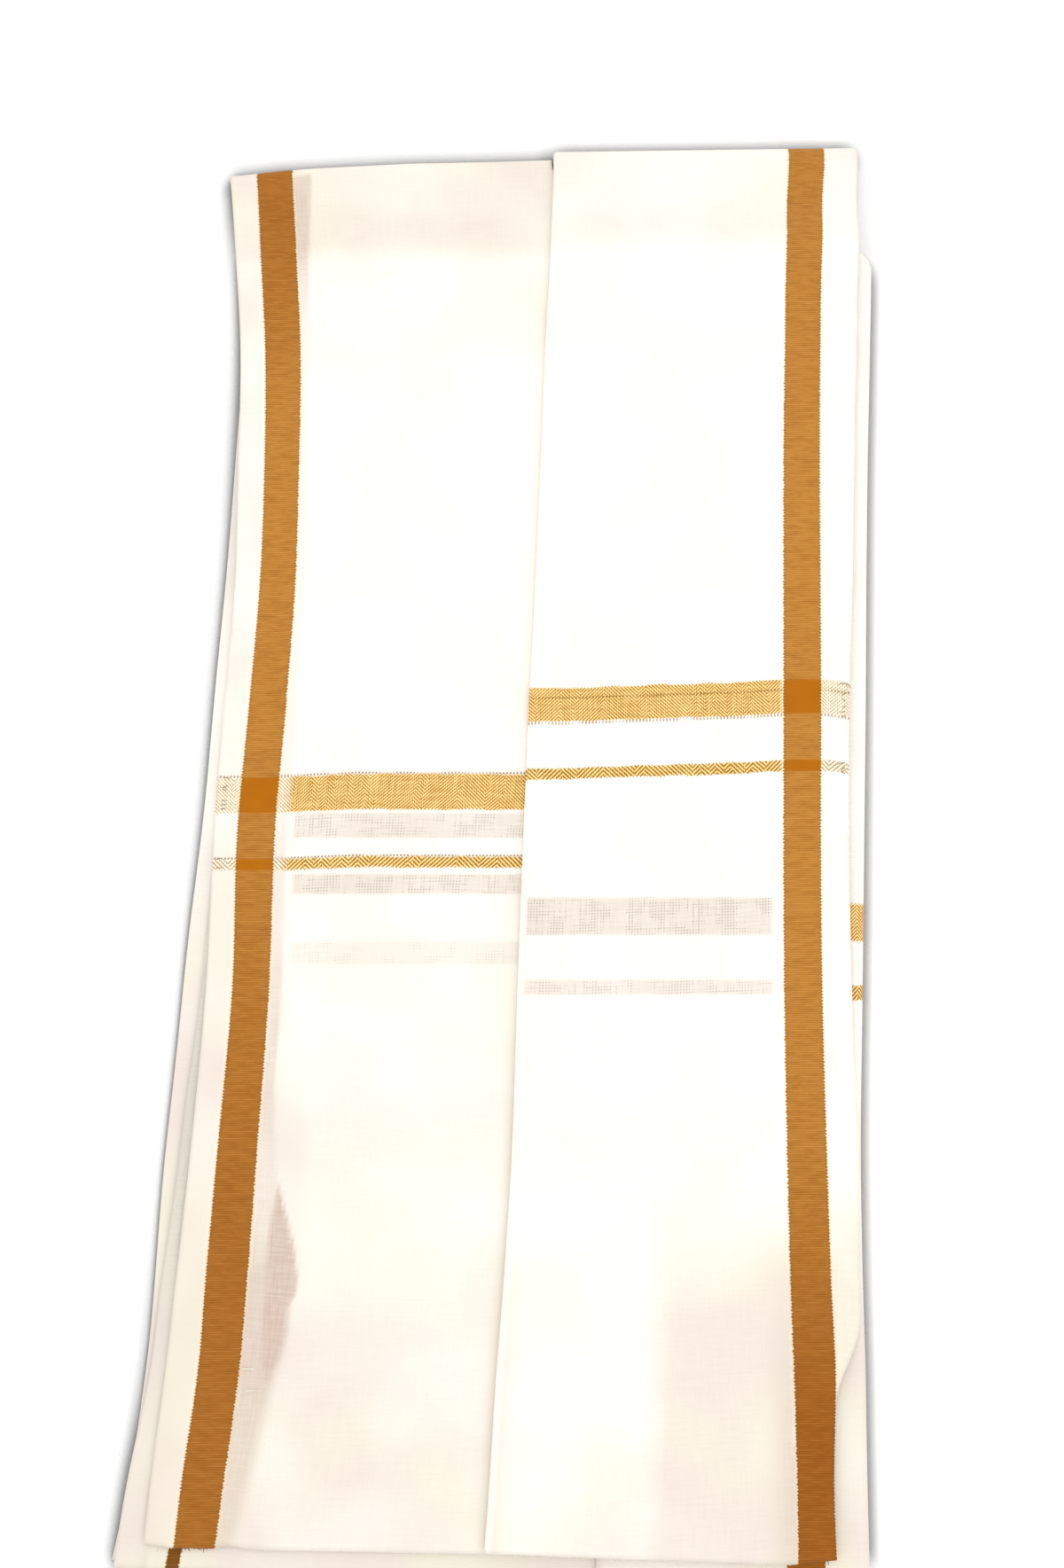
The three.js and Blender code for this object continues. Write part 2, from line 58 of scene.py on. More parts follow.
def add_node(tree, kind, inputs=(), mode=None, **settings):
    """Adds a shader node and sets its mode (data type of a mix, operation of a math node) and its
    other properties. inputs are values, colours in hex, or nodes or sockets to link from: a list in
    the order of the sockets that the node uses, or a dictionary by name."""
    node = tree.nodes.new("ShaderNode" + kind)
    if mode:
        settings["data_type" if kind == "Mix" else "operation"] = mode
    for name, value in settings.items():
        setattr(node, name, value)
    if not isinstance(inputs, dict):
        inputs = dict(enumerate(inputs))
    in_use = [socket for socket in node.inputs if socket.enabled]
    for key, value in inputs.items():
        socket = node.inputs[key] if isinstance(key, str) else in_use[key]
        if isinstance(value, bpy.types.Node):
            value = next(output for output in value.outputs if output.enabled)
        elif isinstance(value, str):
            value = linear(value)
        if isinstance(value, bpy.types.NodeSocket):
            tree.links.new(value, socket)
        else:
            socket.default_value = value
    return node


def set_inputs(node, values):
    """Sets a node's inputs to the values, by name."""
    for name, value in values.items():
        node.inputs[name].default_value = value


def place_object(name, data):
    """A new object of the data, in the scene."""
    placed = bpy.data.objects.new(name, data)
    scene.collection.objects.link(placed)
    return placed


CAMERA_TILT = math.radians(7)
camera_data = bpy.data.cameras.new("camera")
camera_data.lens = 35
camera_data.sensor_width = 36
camera_data.clip_start = 0.01
camera = place_object("camera", camera_data)
camera.location = (6 * MM, -39.6 * MM, 447.7 * MM)
camera.rotation_euler = (CAMERA_TILT, 0, 0)
scene.camera = camera

world = bpy.data.worlds.new("pale_room")
world.use_nodes = True
set_inputs(world.node_tree.nodes["Background"], {"Color": linear("#FFFFFF"), "Strength": 1.36})
scene.world = world

lamp_data = bpy.data.lights.new("soft_lamp", "AREA")
lamp_data.shape = "DISK"
lamp_data.size = 0.42
lamp_data.energy = 0.35
lamp_data.color = (1.0, 0.985, 0.96)
place_object("soft_lamp", lamp_data).location = (0.03, 0.06, 0.62)

SURFACE_HALF = 3.0
PAINTED_SHADOW_REACH = 6.4  # painted contact shadow: how far from the cloth the surface's colour is darkened, most where they meet
PAINTED_SHADOW_FALLOFF = 3.9
surface_mesh = bpy.data.meshes.new("surface")
corners = [(x * SURFACE_HALF, y * SURFACE_HALF, 0) for x, y in ((-1, -1), (1, -1), (1, 1), (-1, 1))]
surface_mesh.from_pydata(corners, [], [(0, 1, 2, 3)])
surface = place_object("surface", surface_mesh)
surface_paint = bpy.data.materials.new("matt_white_board_painted_shadow")
surface_paint.use_nodes = True
add = partial(add_node, surface_paint.node_tree)
board = surface_paint.node_tree.nodes["Principled BSDF"]
# Painted shadow: the board's colour darkens near the cloth with the ambient occlusion there, as a
# contact shadow.
painted_contact_shadow = add("AmbientOcclusion", {"Distance": PAINTED_SHADOW_REACH * MM}, samples=4).outputs["AO"]
painted_contact_shadow = add("Math", [painted_contact_shadow, PAINTED_SHADOW_FALLOFF], "POWER")
painted_contact_shadow = add("Mix", [painted_contact_shadow, "#404040", "#E9E9E9"], "RGBA")
surface_paint.node_tree.links.new(painted_contact_shadow.outputs[2], board.inputs["Base Color"])
set_inputs(board, {"Roughness": 0.8, "Specular IOR Level": 0.2})
surface_mesh.materials.append(surface_paint)

# ---- The right stretch ----
# The topmost stretch of the cloth: plain-woven cream cotton with one mustard warp stripe near its
# selvage and two gold weft bands. It is turned back under itself along the soft centre fold, and
# runs over the outer top fold and flat along the underside.

# x of each named edge, from left to right, in sections at y
EDGE_NAMES = [
    "left under", "next left", "left selvage", "left stripe outer", "left stripe inner", "pile left",
    "split", "right stripe inner", "right stripe outer", "right selvage", "right fold",
]
SECTIONS = np.array([
    (205, -81.0, -82.5, -87.2, -79.0, -68.1, -59.0, 12.6, 84.8, 95.7, 105.9, 109.2),
    (175, -80.5, -82.0, -84.2, -76.6, -65.7, -59.3, 11.5, 82.5, 93.2, 104.2, 109.2),
    (145, -81.6, -80.8, -82.2, -74.7, -63.9, -59.7, 9.9, 81.4, 92.0, 102.8, 108.0),
    (110, -83.4, -81.2, -82.1, -74.2, -63.7, -60.3, 8.5, 80.3, 91.0, 101.3, 106.4),
    (75, -86.0, -81.7, -82.2, -74.8, -64.1, -61.3, 7.0, 79.6, 90.4, 99.9, 105.1),
    (35, -88.6, -84.2, -84.8, -77.4, -66.3, -63.8, 5.0, 78.8, 89.7, 97.9, 103.8),
    (0, -91.1, -86.1, -86.6, -79.8, -68.7, -65.0, 3.5, 78.1, 88.8, 96.9, 102.5),
    (-45, -95.0, -89.4, -87.8, -80.2, -69.5, -65.2, 1.8, 77.4, 88.2, 96.6, 100.8),
    (-90, -98.8, -94.6, -90.9, -83.3, -72.0, -66.0, 0.3, 77.3, 88.4, 97.2, 99.1),
    (-125, -101.1, -98.5, -94.0, -85.7, -74.0, -66.8, -1.9, 77.5, 88.8, 96.9, 98.7),
    (-150, -102.9, -101.1, -96.3, -87.2, -75.7, -67.2, -3.9, 78.0, 89.4, 97.1, 98.7),
    (-180, -106.3, -106.2, -99.6, -91.0, -79.3, -72.5, -5.8, 78.3, 88.4, 97.6, 98.6),
    (-210, -112.6, -111.0, -102.3, -94.4, -83.3, -77.0, -7.8, 78.0, 88.9, 98.0, 98.6),
])
SECTION_Y, EDGE_X = SECTIONS[:, 0], dict(zip(EDGE_NAMES, SECTIONS.T[1:]))
GAP = 0.3  # clearance between two walls of the folded cloth
WALL = 1.0  # thickness of one wall, of which the real cloth is the outer part
PITCH = WALL + GAP
CLOTH = 0.5  # thickness of the woven cloth itself
PILE_HEIGHT = 8.6
LEDGE_HEIGHT = 4.6
FOLD_HEIGHT = 3.0
PILE_EDGE_SPREAD = 8.5
PILE_TOP_END = 177.5
FOLD_SLOPE = 20.0
FOLD_BOTTOM = 2 * PITCH
FOLD_RADIUS = (PILE_HEIGHT + WALL - FOLD_BOTTOM) / 2
BACK_END_Y = -205.0
STRIPE_FROM_SELVAGE = 9.0  # where the mustard stripe starts, measured along the weft
STRIPE_WIDTH = 10.4
PLAIN_CLOTH = 40.0  # a length from the selvage where the cloth is plain, well inside the stripe

# Soft ridges and troughs of the pile: x, y, turn (degrees), half length, half width and height.
PILE_CREASES = [
    (92, -150, 62, 26, 12, 0.3), (78, -172, 88, 30, 10, -0.3), (-74, -120, 84, 70, 11, -0.4),
    (40, 60, 80, 90, 26, 0.4), (-34, -30, 96, 80, 18, 0.35), (48, -110, 102, 60, 20, -0.4),
    (-20, 150, 10, 50, 12, -0.3),
]
# The cloth's own creases, finer than those of the pile under it.
RIGHT_CREASES = [
    (30, 120, 86, 46, 3.2, 0.16), (66, 150, 93, 34, 2.6, 0.14), (58, -20, 88, 70, 3.6, 0.18),
    (24, -78, 96, 40, 3.0, 0.16), (70, -150, 84, 38, 4.0, 0.22), (40, -182, 4, 34, 2.4, 0.2),
    (18, -165, 80, 26, 2.6, 0.18), (94, 96, 90, 60, 2.2, 0.12), (50, 172, 1, 60, 2.0, 0.18),
    (88, -172, 86, 22, 3.0, 0.2),
]


def smooth(t):
    """3t^2 - 2t^3 between 0 and 1, and level outside them."""
    t = np.clip(t, 0, 1)
    return t * t * (3 - 2 * t)


def edge(name, y):
    """x of a named edge at y: a cubic between two rows of its table, where the slope at a row is
    that of the line between the rows beside it. Past the last rows it stays level."""
    rows = EDGE_X[name]
    padded_x, padded_y = np.pad(rows, 1, "edge"), np.pad(SECTION_Y, 1, "edge")
    slopes = (padded_x[:-2] - padded_x[2:]) / (padded_y[:-2] - padded_y[2:])
    i = np.clip(np.searchsorted(-SECTION_Y, -y, side="right") - 1, 0, len(rows) - 2)
    span = SECTION_Y[i + 1] - SECTION_Y[i]
    t = np.clip((y - SECTION_Y[i]) / span, 0, 1)
    return (
        (2 * t**3 - 3 * t**2 + 1) * rows[i]
        + (t**3 - 2 * t**2 + t) * span * slopes[i]
        + (3 * t**2 - 2 * t**3) * rows[i + 1]
        + (t**3 - t**2) * span * slopes[i + 1]
    )


def ridges(x, y, table):
    """Sum over the rows of height * exp(-(along / half length)^2 - (across / half width)^2)."""
    height = np.zeros(np.broadcast(x, y).shape)
    for middle_x, middle_y, turn, half_length, half_width, size in table:
        c, s = math.cos(math.radians(turn)), math.sin(math.radians(turn))
        along = (x - middle_x) * c + (y - middle_y) * s
        across = (y - middle_y) * c - (x - middle_x) * s
        height += size * np.exp(-((along / half_length) ** 2) - (across / half_width) ** 2)
    return height


def pile_height(x, y):
    """Underside of the front stretches: level over the thick pile, down to the ledge left of it,
    down again towards the top fold, rounded over the right fold, with the pile's creases added."""
    over_edge = smooth((x - edge("pile left", y) + PILE_EDGE_SPREAD) / (2 * PILE_EDGE_SPREAD))
    level = LEDGE_HEIGHT + (PILE_HEIGHT - LEDGE_HEIGHT) * over_edge
    beyond = np.clip((x - edge("right fold", y) + FOLD_RADIUS) / FOLD_RADIUS, 0, 0.75)
    creased = level - FOLD_RADIUS * (1 - np.sqrt(1 - beyond**2)) + ridges(x, y, PILE_CREASES)
    towards_fold = smooth((y - PILE_TOP_END) / FOLD_SLOPE)
    return creased + (FOLD_HEIGHT - creased) * towards_fold


def woven_mesh(name, material, points, faces, flat_faces, across, along, layers_and_shade):
    """A mesh object from points (mm) and four-sided faces, the last flat_faces of them not smooth.
    across and along are the weft and warp lengths from the selvage and from y = 0, and the last
    argument
    is a colour attribute: r how far a layer below is seen through, with painted shade added, g the
    front, b how creamy the ground is, partly the cloth's tone and partly painted shade, and alpha the
    stripe's painted shade, each with a value for each point."""
    mesh = bpy.data.meshes.new(name)
    mesh.vertices.add(len(points))
    mesh.vertices.foreach_set("co", (points * MM).ravel())
    mesh.loops.add(faces.size)
    mesh.loops.foreach_set("vertex_index", faces.ravel())
    mesh.polygons.add(len(faces))
    mesh.polygons.foreach_set("loop_start", np.arange(len(faces)) * 4)
    mesh.polygons.foreach_set("use_smooth", np.arange(len(faces)) < len(faces) - flat_faces)
    mesh.update(calc_edges=True)
    weave = np.stack([across, along], -1) * MM
    mesh.uv_layers.new(name="weave").data.foreach_set("uv", weave[faces.ravel()].ravel())
    mesh.attributes.new("layers_and_shade", "FLOAT_COLOR", "POINT").data.foreach_set("color", layers_and_shade.ravel())
    mesh.materials.append(material)
    return place_object(name, mesh)


def shell_mesh(name, material, outer, inner, across, along, layers_and_shade):
    """One closed sheet from two grids of points that face each other, stitched along their borders,
    with the across, along and layers of woven_mesh for each place of the grid."""
    rows, columns = outer.shape[:2]
    count = rows * columns
    grid = np.arange(count).reshape(rows, columns)
    quads = np.stack([grid[:-1, :-1], grid[:-1, 1:], grid[1:, 1:], grid[1:, :-1]], -1).reshape(-1, 4)
    rim = np.concatenate([grid[0, :-1], grid[:-1, -1], grid[-1, :0:-1], grid[:0:-1, 0]])
    after = np.roll(rim, -1)
    stitches = np.stack([after, rim, rim + count, after + count], -1)
    faces = np.concatenate([quads, quads[:, ::-1] + count, stitches])
    points = np.concatenate([outer.reshape(-1, 3), inner.reshape(-1, 3)])
    a, b, c, d = (points[faces[:, k]] for k in range(4))
    if np.sum(np.cross(b - a, c - a) * a) + np.sum(np.cross(c - a, d - a) * a) < 0:
        faces = faces[:, ::-1]
    across, along, layers_and_shade = (
        np.tile(values.reshape(count, -1), (2, 1)) for values in (across, along, layers_and_shade)
    )
    return woven_mesh(name, material, points, faces, len(stitches), across[:, 0], along[:, 0], layers_and_shade)


def thread_mesh(name, material, roots, heading, turn, length, sink, radius, across, along, layers_and_shade):
    """Loose threads as four-sided tubes that taper to half, one from each root. A thread's heading
    (radians, 0 along +x) changes by turn on its way, and it drops by sink. It has one value each of
    across, along and layers, and so the colour of the cloth at its root."""
    STEPS = 6
    way = np.linspace(0, 1, STEPS)[None, :]
    angle = heading[:, None] + turn[:, None] * way
    stride = (length[:, None] / (STEPS - 1)) * (way > 0)
    x = roots[:, :1] + np.cumsum(np.cos(angle) * stride, 1)
    y = roots[:, 1:2] + np.cumsum(np.sin(angle) * stride, 1)
    z = roots[:, 2:] - sink[:, None] * way**1.6
    middle = np.stack([x, y, z], -1)[:, :, None]
    side = np.stack([-np.sin(angle), np.cos(angle), 0 * angle], -1)[:, :, None]
    corner = np.arange(4)[None, None, :, None] * math.pi / 2
    thick = (radius[:, None] * (1 - 0.5 * way))[:, :, None, None]
    points = middle + thick * (side * np.cos(corner) + np.array([0, 0, 1]) * np.sin(corner))
    grid = np.arange(points[..., 0].size).reshape(points.shape[:3])
    turned = np.roll(grid, -1, 2)
    sides = np.stack([grid[:, :-1], turned[:, :-1], turned[:, 1:], grid[:, 1:]], -1).reshape(-1, 4)
    ends = np.concatenate([grid[:, 0, ::-1], grid[:, -1]])
    per_thread = STEPS * 4
    return woven_mesh(
        name, material, points.reshape(-1, 3), np.concatenate([sides, ends]), len(ends),
        *(np.repeat(values, per_thread, 0) for values in (across, along, layers_and_shade)),
    )


def cut_end_threads(name, material, edge_points, across, along, layers_and_shade, shares, lengths, seed):
    """Frayed warp ends of a cut end, one from each share (0 to 1) of the row of edge_points, spread
    to either side of straight out."""
    random = np.random.default_rng(seed)
    place = shares * (len(edge_points) - 1)
    columns = np.arange(len(edge_points))
    roots = np.stack([np.interp(place, columns, edge_points[:, k]) for k in range(3)], -1)
    roots += np.array([0, 0.2, -CLOTH / 2])
    root_layers_and_shade = np.stack([np.interp(place, columns, layers_and_shade[:, k]) for k in range(4)], -1)
    root_layers_and_shade[:, :2] = 0
    count = len(shares)
    return thread_mesh(
        name, material, roots,
        -math.pi / 2 + random.normal(0, 0.35, count), random.normal(0, 0.7, count),
        lengths, 0.3 * np.minimum(lengths, 1.6), random.uniform(0.09, 0.16, count),
        np.interp(place, columns, across), np.interp(place, columns, along), root_layers_and_shade,
    )


ROW_STEP = 1.6
SLOPE_ROWS, FOLD_ROWS, BACK_ROWS = 19, 14, 70


def stretch_rows(cut_y):
    """The rows of a front stretch, from its cut end up the front, round the top fold and down the
    underside: each one's part (0 front, 1 slope, 2 fold, 3 underside) and its share of that part."""
    front = np.linspace(0, 1, round((PILE_TOP_END - cut_y) / ROW_STEP), endpoint=False)
    slope = np.linspace(0, 1, SLOPE_ROWS, endpoint=False)
    fold = np.linspace(0, 1, FOLD_ROWS, endpoint=False)
    back = np.linspace(0, 1, BACK_ROWS)
    parts = np.concatenate([np.full(len(p), k) for k, p in enumerate((front, slope, fold, back))])
    return parts, np.concatenate([front, slope, fold, back])


def stretch_y(parts, shares, cut_y, turn_y):
    """y of each row: from the cut to the pile's end, on to turn_y, level there, and back down."""
    front = cut_y + (PILE_TOP_END - cut_y) * shares
    slope = PILE_TOP_END + (turn_y - PILE_TOP_END) * shares
    back = turn_y + (BACK_END_Y - turn_y) * shares
    return np.select([parts == 0, parts == 1, parts == 2], [front, slope, turn_y], back)


def stretch_points(parts, shares, x, y, depth, turn_y, radius, top_height, relief):
    """Points at x and y, depth below the outer face: over the pile on the front, on a half circle
    about (turn_y, radius) in the fold, and at z = depth on the underside."""
    angle = math.pi * shares
    reach = radius - depth
    front_z = pile_height(x, y) + relief + top_height - depth
    z = np.select([parts <= 1, parts == 2], [front_z, radius + reach * np.cos(angle)], depth)
    turned_y = np.where(parts == 2, turn_y + reach * np.sin(angle), y)
    return np.stack([x + 0 * z, turned_y + 0 * z, z], -1)


def along_cloth(parts, shares, y, turn_y, radius):
    """Length along the warp: y on the front, then the arc round the fold and down the underside."""
    round_fold = turn_y + math.pi * radius * shares
    underside = turn_y + math.pi * radius + (turn_y - y)
    return np.select([parts <= 1, parts == 2], [y, round_fold], underside)


def bump(t, middle, half_width):
    """exp(-((t - middle) / half width)^2): a soft hump along one direction."""
    return np.exp(-(((t - middle) / half_width) ** 2))


RIGHT_CUT_Y = -198.6
CUT_SKEW_REACH = 16.0  # how far up from a cut end the rows bend with it
RIGHT_CUT_SKEW = [(-8, 32, 76, 89), (2.4, 0.8, -0.7, 0.6)]  # x, and how much higher the cut is there
RIGHT_FOLD_Y = (211.5, 212.8)  # y of the top fold at its left and its right end
FLAP_SHORT = 4.0
BEND_RADIUS = (WALL + PITCH) / 2
RIGHT_TOP_HEIGHT = WALL + 2 * PITCH
RIGHT_FOLD_RADIUS = (FOLD_HEIGHT + RIGHT_TOP_HEIGHT) / 2
RIGHT_TOP_X = 104.7  # the right end of the top fold
TURN_UNDER_Y = -134.0  # where the selvage begins to be turned under, as far as the stripe
TURN_UNDER_LENGTH = 24.0
RELIEF_FADE = 20.0  # how far past the pile's top end the creases fade out

parts, shares = (a[:, None] for a in stretch_rows(RIGHT_CUT_Y))
nominal_y = stretch_y(parts, shares, RIGHT_CUT_Y, RIGHT_FOLD_Y[0] - RIGHT_FOLD_RADIUS)
turned_under = smooth((TURN_UNDER_Y - nominal_y) / TURN_UNDER_LENGTH)
selvage_x = edge("right selvage", nominal_y)
selvage_x = selvage_x + (edge("right stripe outer", nominal_y) - selvage_x) * turned_under
bend_x = edge("split", nominal_y) + BEND_RADIUS
flap_x = selvage_x - FLAP_SHORT
# The section across it: from the selvage to the centre fold, a half circle, and back under itself.
TOP_COLUMNS, BEND_COLUMNS, FLAP_COLUMNS = 70, 9, 14
top = np.linspace(0, 1, TOP_COLUMNS, endpoint=False)[None, :]
bend = np.linspace(0, math.pi, BEND_COLUMNS, endpoint=False)[None, :]
flap = np.linspace(0, 1, FLAP_COLUMNS)[None, :]


def right_points(inset):
    """Points of the right stretch, inset below its outer face, with their x and y before the fold and
    turn_y. Round the bend they lie on a half circle of BEND_RADIUS less inset."""
    reach = BEND_RADIUS - inset
    x = np.concatenate([
        selvage_x + (bend_x - selvage_x) * top, bend_x - reach * np.sin(bend),
        bend_x + (flap_x - bend_x) * flap,
    ], 1)
    depth = 0 * x + np.concatenate([
        np.full(top.shape, inset), BEND_RADIUS - reach * np.cos(bend),
        np.full(flap.shape, 2 * BEND_RADIUS - inset),
    ], 1)
    split_x = edge("split", RIGHT_FOLD_Y[0])
    share_across = np.clip((x - split_x) / (RIGHT_TOP_X - split_x), 0, 1)
    turn_y = RIGHT_FOLD_Y[0] + (RIGHT_FOLD_Y[1] - RIGHT_FOLD_Y[0]) * share_across - RIGHT_FOLD_RADIUS
    y = stretch_y(parts, shares, RIGHT_CUT_Y, turn_y)
    near_cut = smooth((RIGHT_CUT_Y + CUT_SKEW_REACH - y) / CUT_SKEW_REACH) * (parts == 0)
    y = y + np.interp(x, *RIGHT_CUT_SKEW) * near_cut
    on_top = (np.arange(x.shape[1]) < TOP_COLUMNS)[None, :]
    on_top = on_top * smooth((PILE_TOP_END + RELIEF_FADE - y) / RELIEF_FADE)
    relief = ridges(x, y, RIGHT_CREASES) * on_top * smooth((selvage_x - x) / 8)
    heights = RIGHT_FOLD_RADIUS, RIGHT_TOP_HEIGHT, relief
    return stretch_points(parts, shares, x, y, depth, turn_y, *heights), x, y, turn_y


right_outer, x, y, turn_y = right_points(0)
right_inner = right_points(CLOTH)[0]
stripe_outer = edge("right stripe outer", nominal_y)
stripe_inner = edge("right stripe inner", nominal_y)
weft_scale = STRIPE_WIDTH / (stripe_outer - stripe_inner)
across = STRIPE_FROM_SELVAGE + (stripe_outer - x) * weft_scale
bend_across = STRIPE_FROM_SELVAGE + (stripe_outer - bend_x) * weft_scale
flap_across = bend_across + math.pi * BEND_RADIUS + (x - bend_x)
across[:, TOP_COLUMNS + BEND_COLUMNS :] = flap_across[:, TOP_COLUMNS + BEND_COLUMNS :]
# The weft isn't level: it rises by up to 2.5 mm towards the stripe and drops at the selvage.
WEFT_RISE_X = [6, 16, 42, 68, 77, 91, 98]
WEFT_RISE = [0, 0, 0.9, 1.8, 2.4, 2.5, 1.5]
along = along_cloth(parts, shares, y, turn_y, RIGHT_FOLD_RADIUS)
along = along - np.where(parts <= 1, np.interp(x, WEFT_RISE_X, WEFT_RISE), 0)

on_front = (parts <= 1) * (np.arange(x.shape[1]) < TOP_COLUMNS)[None, :] * 1.0
# Painted shade: along a soft ridge left of the stripe towards the cut end, and a thin line along the
# centre fold.
low = smooth((-105 - y) / 70)
shade_beside_stripe = bump(x, edge("right stripe inner", nominal_y) - 1, 5.5) * low
fold_shade = bump(x, edge("split", nominal_y), 3.5) * smooth((-90 - y) / 60)
show_through_and_shade = np.clip(0.5 * shade_beside_stripe * (x < stripe_inner) + 0.3 * fold_shade, 0, 1) * on_front
# The cream tone is deeper towards the top fold and the lower end, most at the lower right: partly the
# cloth's own tone, partly painted shade.
cream_and_shade = (
    smooth((y - 174) / 8) * 0.35
    + 0.9 * smooth((-85 - y) / 55) * smooth((x - 34) / 14)
    + 0.3 * smooth((-70 - y) / 120)
    + 0.2 * smooth((-170 - y) / 30)
)
# Painted shade: the stripe is darker towards its top and bottom ends, most at the lower end, where less
# light falls.
RIGHT_STRIPE_SHADE_Y = [-199, -165, -130, -90, -40, 90, 170, 205]
RIGHT_STRIPE_SHADE = [0.95, 1.0, 0.65, 0.25, 0.05, 0.0, 0.1, 0.2]
stripe_shade = np.interp(y, RIGHT_STRIPE_SHADE_Y, RIGHT_STRIPE_SHADE)
right_layers_and_shade = np.stack([show_through_and_shade, on_front, np.clip(cream_and_shade, 0, 1), stripe_shade], -1)


def ramp_rows(ramp, rows, softness):
    """Sets a colour ramp's stops so that it is 0 but for a level between the bottom and the top of
    each row (top, bottom, level), with soft edges."""
    elements = ramp.color_ramp.elements
    for top, bottom, level in sorted(rows, key=lambda row: row[1]):
        starts, ends = (bottom - softness, bottom + softness), (top - softness, top + softness)
        for place, grey in zip((*starts, *ends), (0, level, level, 0)):
            elements.new(place / RAMP_SPAN + 0.5).color = (grey, grey, grey, 1)
    elements[0].color = elements[-1].color = (0, 0, 0, 1)


RAMP_SPAN = 120.0  # a ramp covers so many millimetres, centred on 0
ON_RAMP = (-RAMP_SPAN / 2, RAMP_SPAN / 2, 0, 1)


def cotton_cloth(
    name, bands=(), dotted_picks=(), bands_below=(), below_x=(0.0, 70.0), pale_inner=0.8,
    selvage_at=0.9, dye_lit_to_shaded=("#AC7530", "#8C5015"), shade="#BDA99C",
):
    """Handloom cotton, plain woven of fine yarn, matt and faintly fuzzy: a creamy ground, a mustard
    warp stripe with uneven weft ribs, and gold weft bands in a broken herringbone. bands are the
    (top, bottom) of the wide and the narrow band along the warp, dotted_picks the places of single
    gold picks beside or in them, and bands_below the (top, bottom, strength) of bands that show
    through from the layer below, between the two below_x. What is seen through from below, and the
    painted shade of the colour attribute, take the colour shade. The bands are pale for pale_inner mm
    inside the stripe, and end selvage_at mm from the selvage.
    The stripe's colour is given as a pair: lit, where its painted shade is 0, and shaded, where it is
    1."""
    narrow_below = (bands[0][1] + bands[1][0]) / 2 if bands else 0.0  # v between the two bands
    material = bpy.data.materials.new(name)
    material.use_nodes = True
    tree = material.node_tree
    add = partial(add_node, tree)
    shader = tree.nodes["Principled BSDF"]
    # Lengths across (u) and along (v) the cloth, and the place on the surface, in millimetres.
    weave = add("UVMap", uv_map="weave")
    lengths = add("VectorMath", [weave, 1 / MM], "SCALE")
    u, v = add("SeparateXYZ", [lengths]).outputs[:2]
    place = add("TexCoord").outputs["Object"]
    place = add("VectorMath", [place, 1 / MM], "SCALE")
    place_x, place_y = add("SeparateXYZ", [place]).outputs[:2]
    layers_and_shade = add("Attribute", attribute_name="layers_and_shade")
    painted_shade_and_show_through, front, cream_and_shade = add("SeparateColor", [layers_and_shade]).outputs[:3]

    # Uneven yarn: long slubs along the weft and along the warp, and broader patches.
    weft_slub, warp_slub = (
        add("TexNoise", [add("Mapping", {"Vector": lengths, "Scale": scale}), 1, 2])
        for scale in ((0.12, 1.7, 1), (1.9, 0.1, 1))
    )
    patch = add("TexNoise", [lengths, 0.16, 1])
    yarn = add("Math", [weft_slub, warp_slub], "ADD")

    # Cream ground: bleached cotton, creamier in blotches 2 to 4 cm wide, some pinkish, some yellow.
    blotch = add("TexNoise", [lengths, 0.03, 1])
    tint_place = add("Mapping", {"Vector": lengths, "Location": (310, 170, 0)})
    tint = add("TexNoise", [tint_place, 0.026, 1])
    tint = add("MapRange", [tint, 0.42, 0.58, 0, 1])
    creamy = add("Mix", [tint, "#D7CCC3", "#DAD3C3"], "RGBA")
    blotchy = add("MapRange", [blotch, 0.4, 0.62, -0.12, 0.22])
    # The attribute's cream value is partly the cloth's own tone and partly painted shade; the blotches
    # are added to it.
    cream_and_shade = add("Math", [cream_and_shade, blotchy], "ADD", use_clamp=True)
    ground = add("Mix", [cream_and_shade, "#E8E4DC", creamy], "RGBA")
    yarn_tone = add("MapRange", [yarn, 0.7, 1.3, 0.97, 1.02])
    ground = add("VectorMath", [ground, yarn_tone], "SCALE")

    # What shows through the open weave, in a warm colour shade, and the painted shade of the
    # attribute's r value, in the same colour; and here and there the dark gaps between the threads,
    # drawn 0.8 mm apart, twice as coarse as the real ones, so that they show.
    gaps = add("Math", [add("Math", [length, 0.4], "PINGPONG") for length in (u, v)], "MULTIPLY")
    gaps = add("MapRange", [gaps, 0.05, 0.11, 0, 1.6])
    open_weave = add("Math", [yarn, 0.6, patch], "MULTIPLY_ADD")
    open_weave = add("MapRange", [open_weave, 1.06, 1.2, 0, 1])
    gaps = add("Math", [gaps, open_weave], "MULTIPLY")
    uneven = add("MapRange", [yarn, 0.75, 1.25, 0.76, 1.24])
    below = add("ValToRGB", [add("MapRange", [place_y, *ON_RAMP])])
    ramp_rows(below, bands_below, 0.4)
    for limit_x, inward in zip(below_x, (1, -1)):
        within = add("MapRange", [place_x, limit_x - inward, limit_x + inward, 0, 1])
        below = add("Math", [below, within], "MULTIPLY")
    below = add("Math", [below, front], "MULTIPLY")
    gaps = add("Math", [gaps, below], "MULTIPLY")
    # Painted shade: the attribute's r value darkens the cloth towards the colour shade, on top of the
    # bands seen through from below.
    show_through_and_shade = add("Math", [below, painted_shade_and_show_through], "ADD")
    show_through_and_shade = add("Math", [show_through_and_shade, uneven], "MULTIPLY", use_clamp=True)
    cloth = add("Mix", [show_through_and_shade, ground, shade], "RGBA")
    cloth = add("Mix", [gaps, cloth, "#7C6D62"], "RGBA")

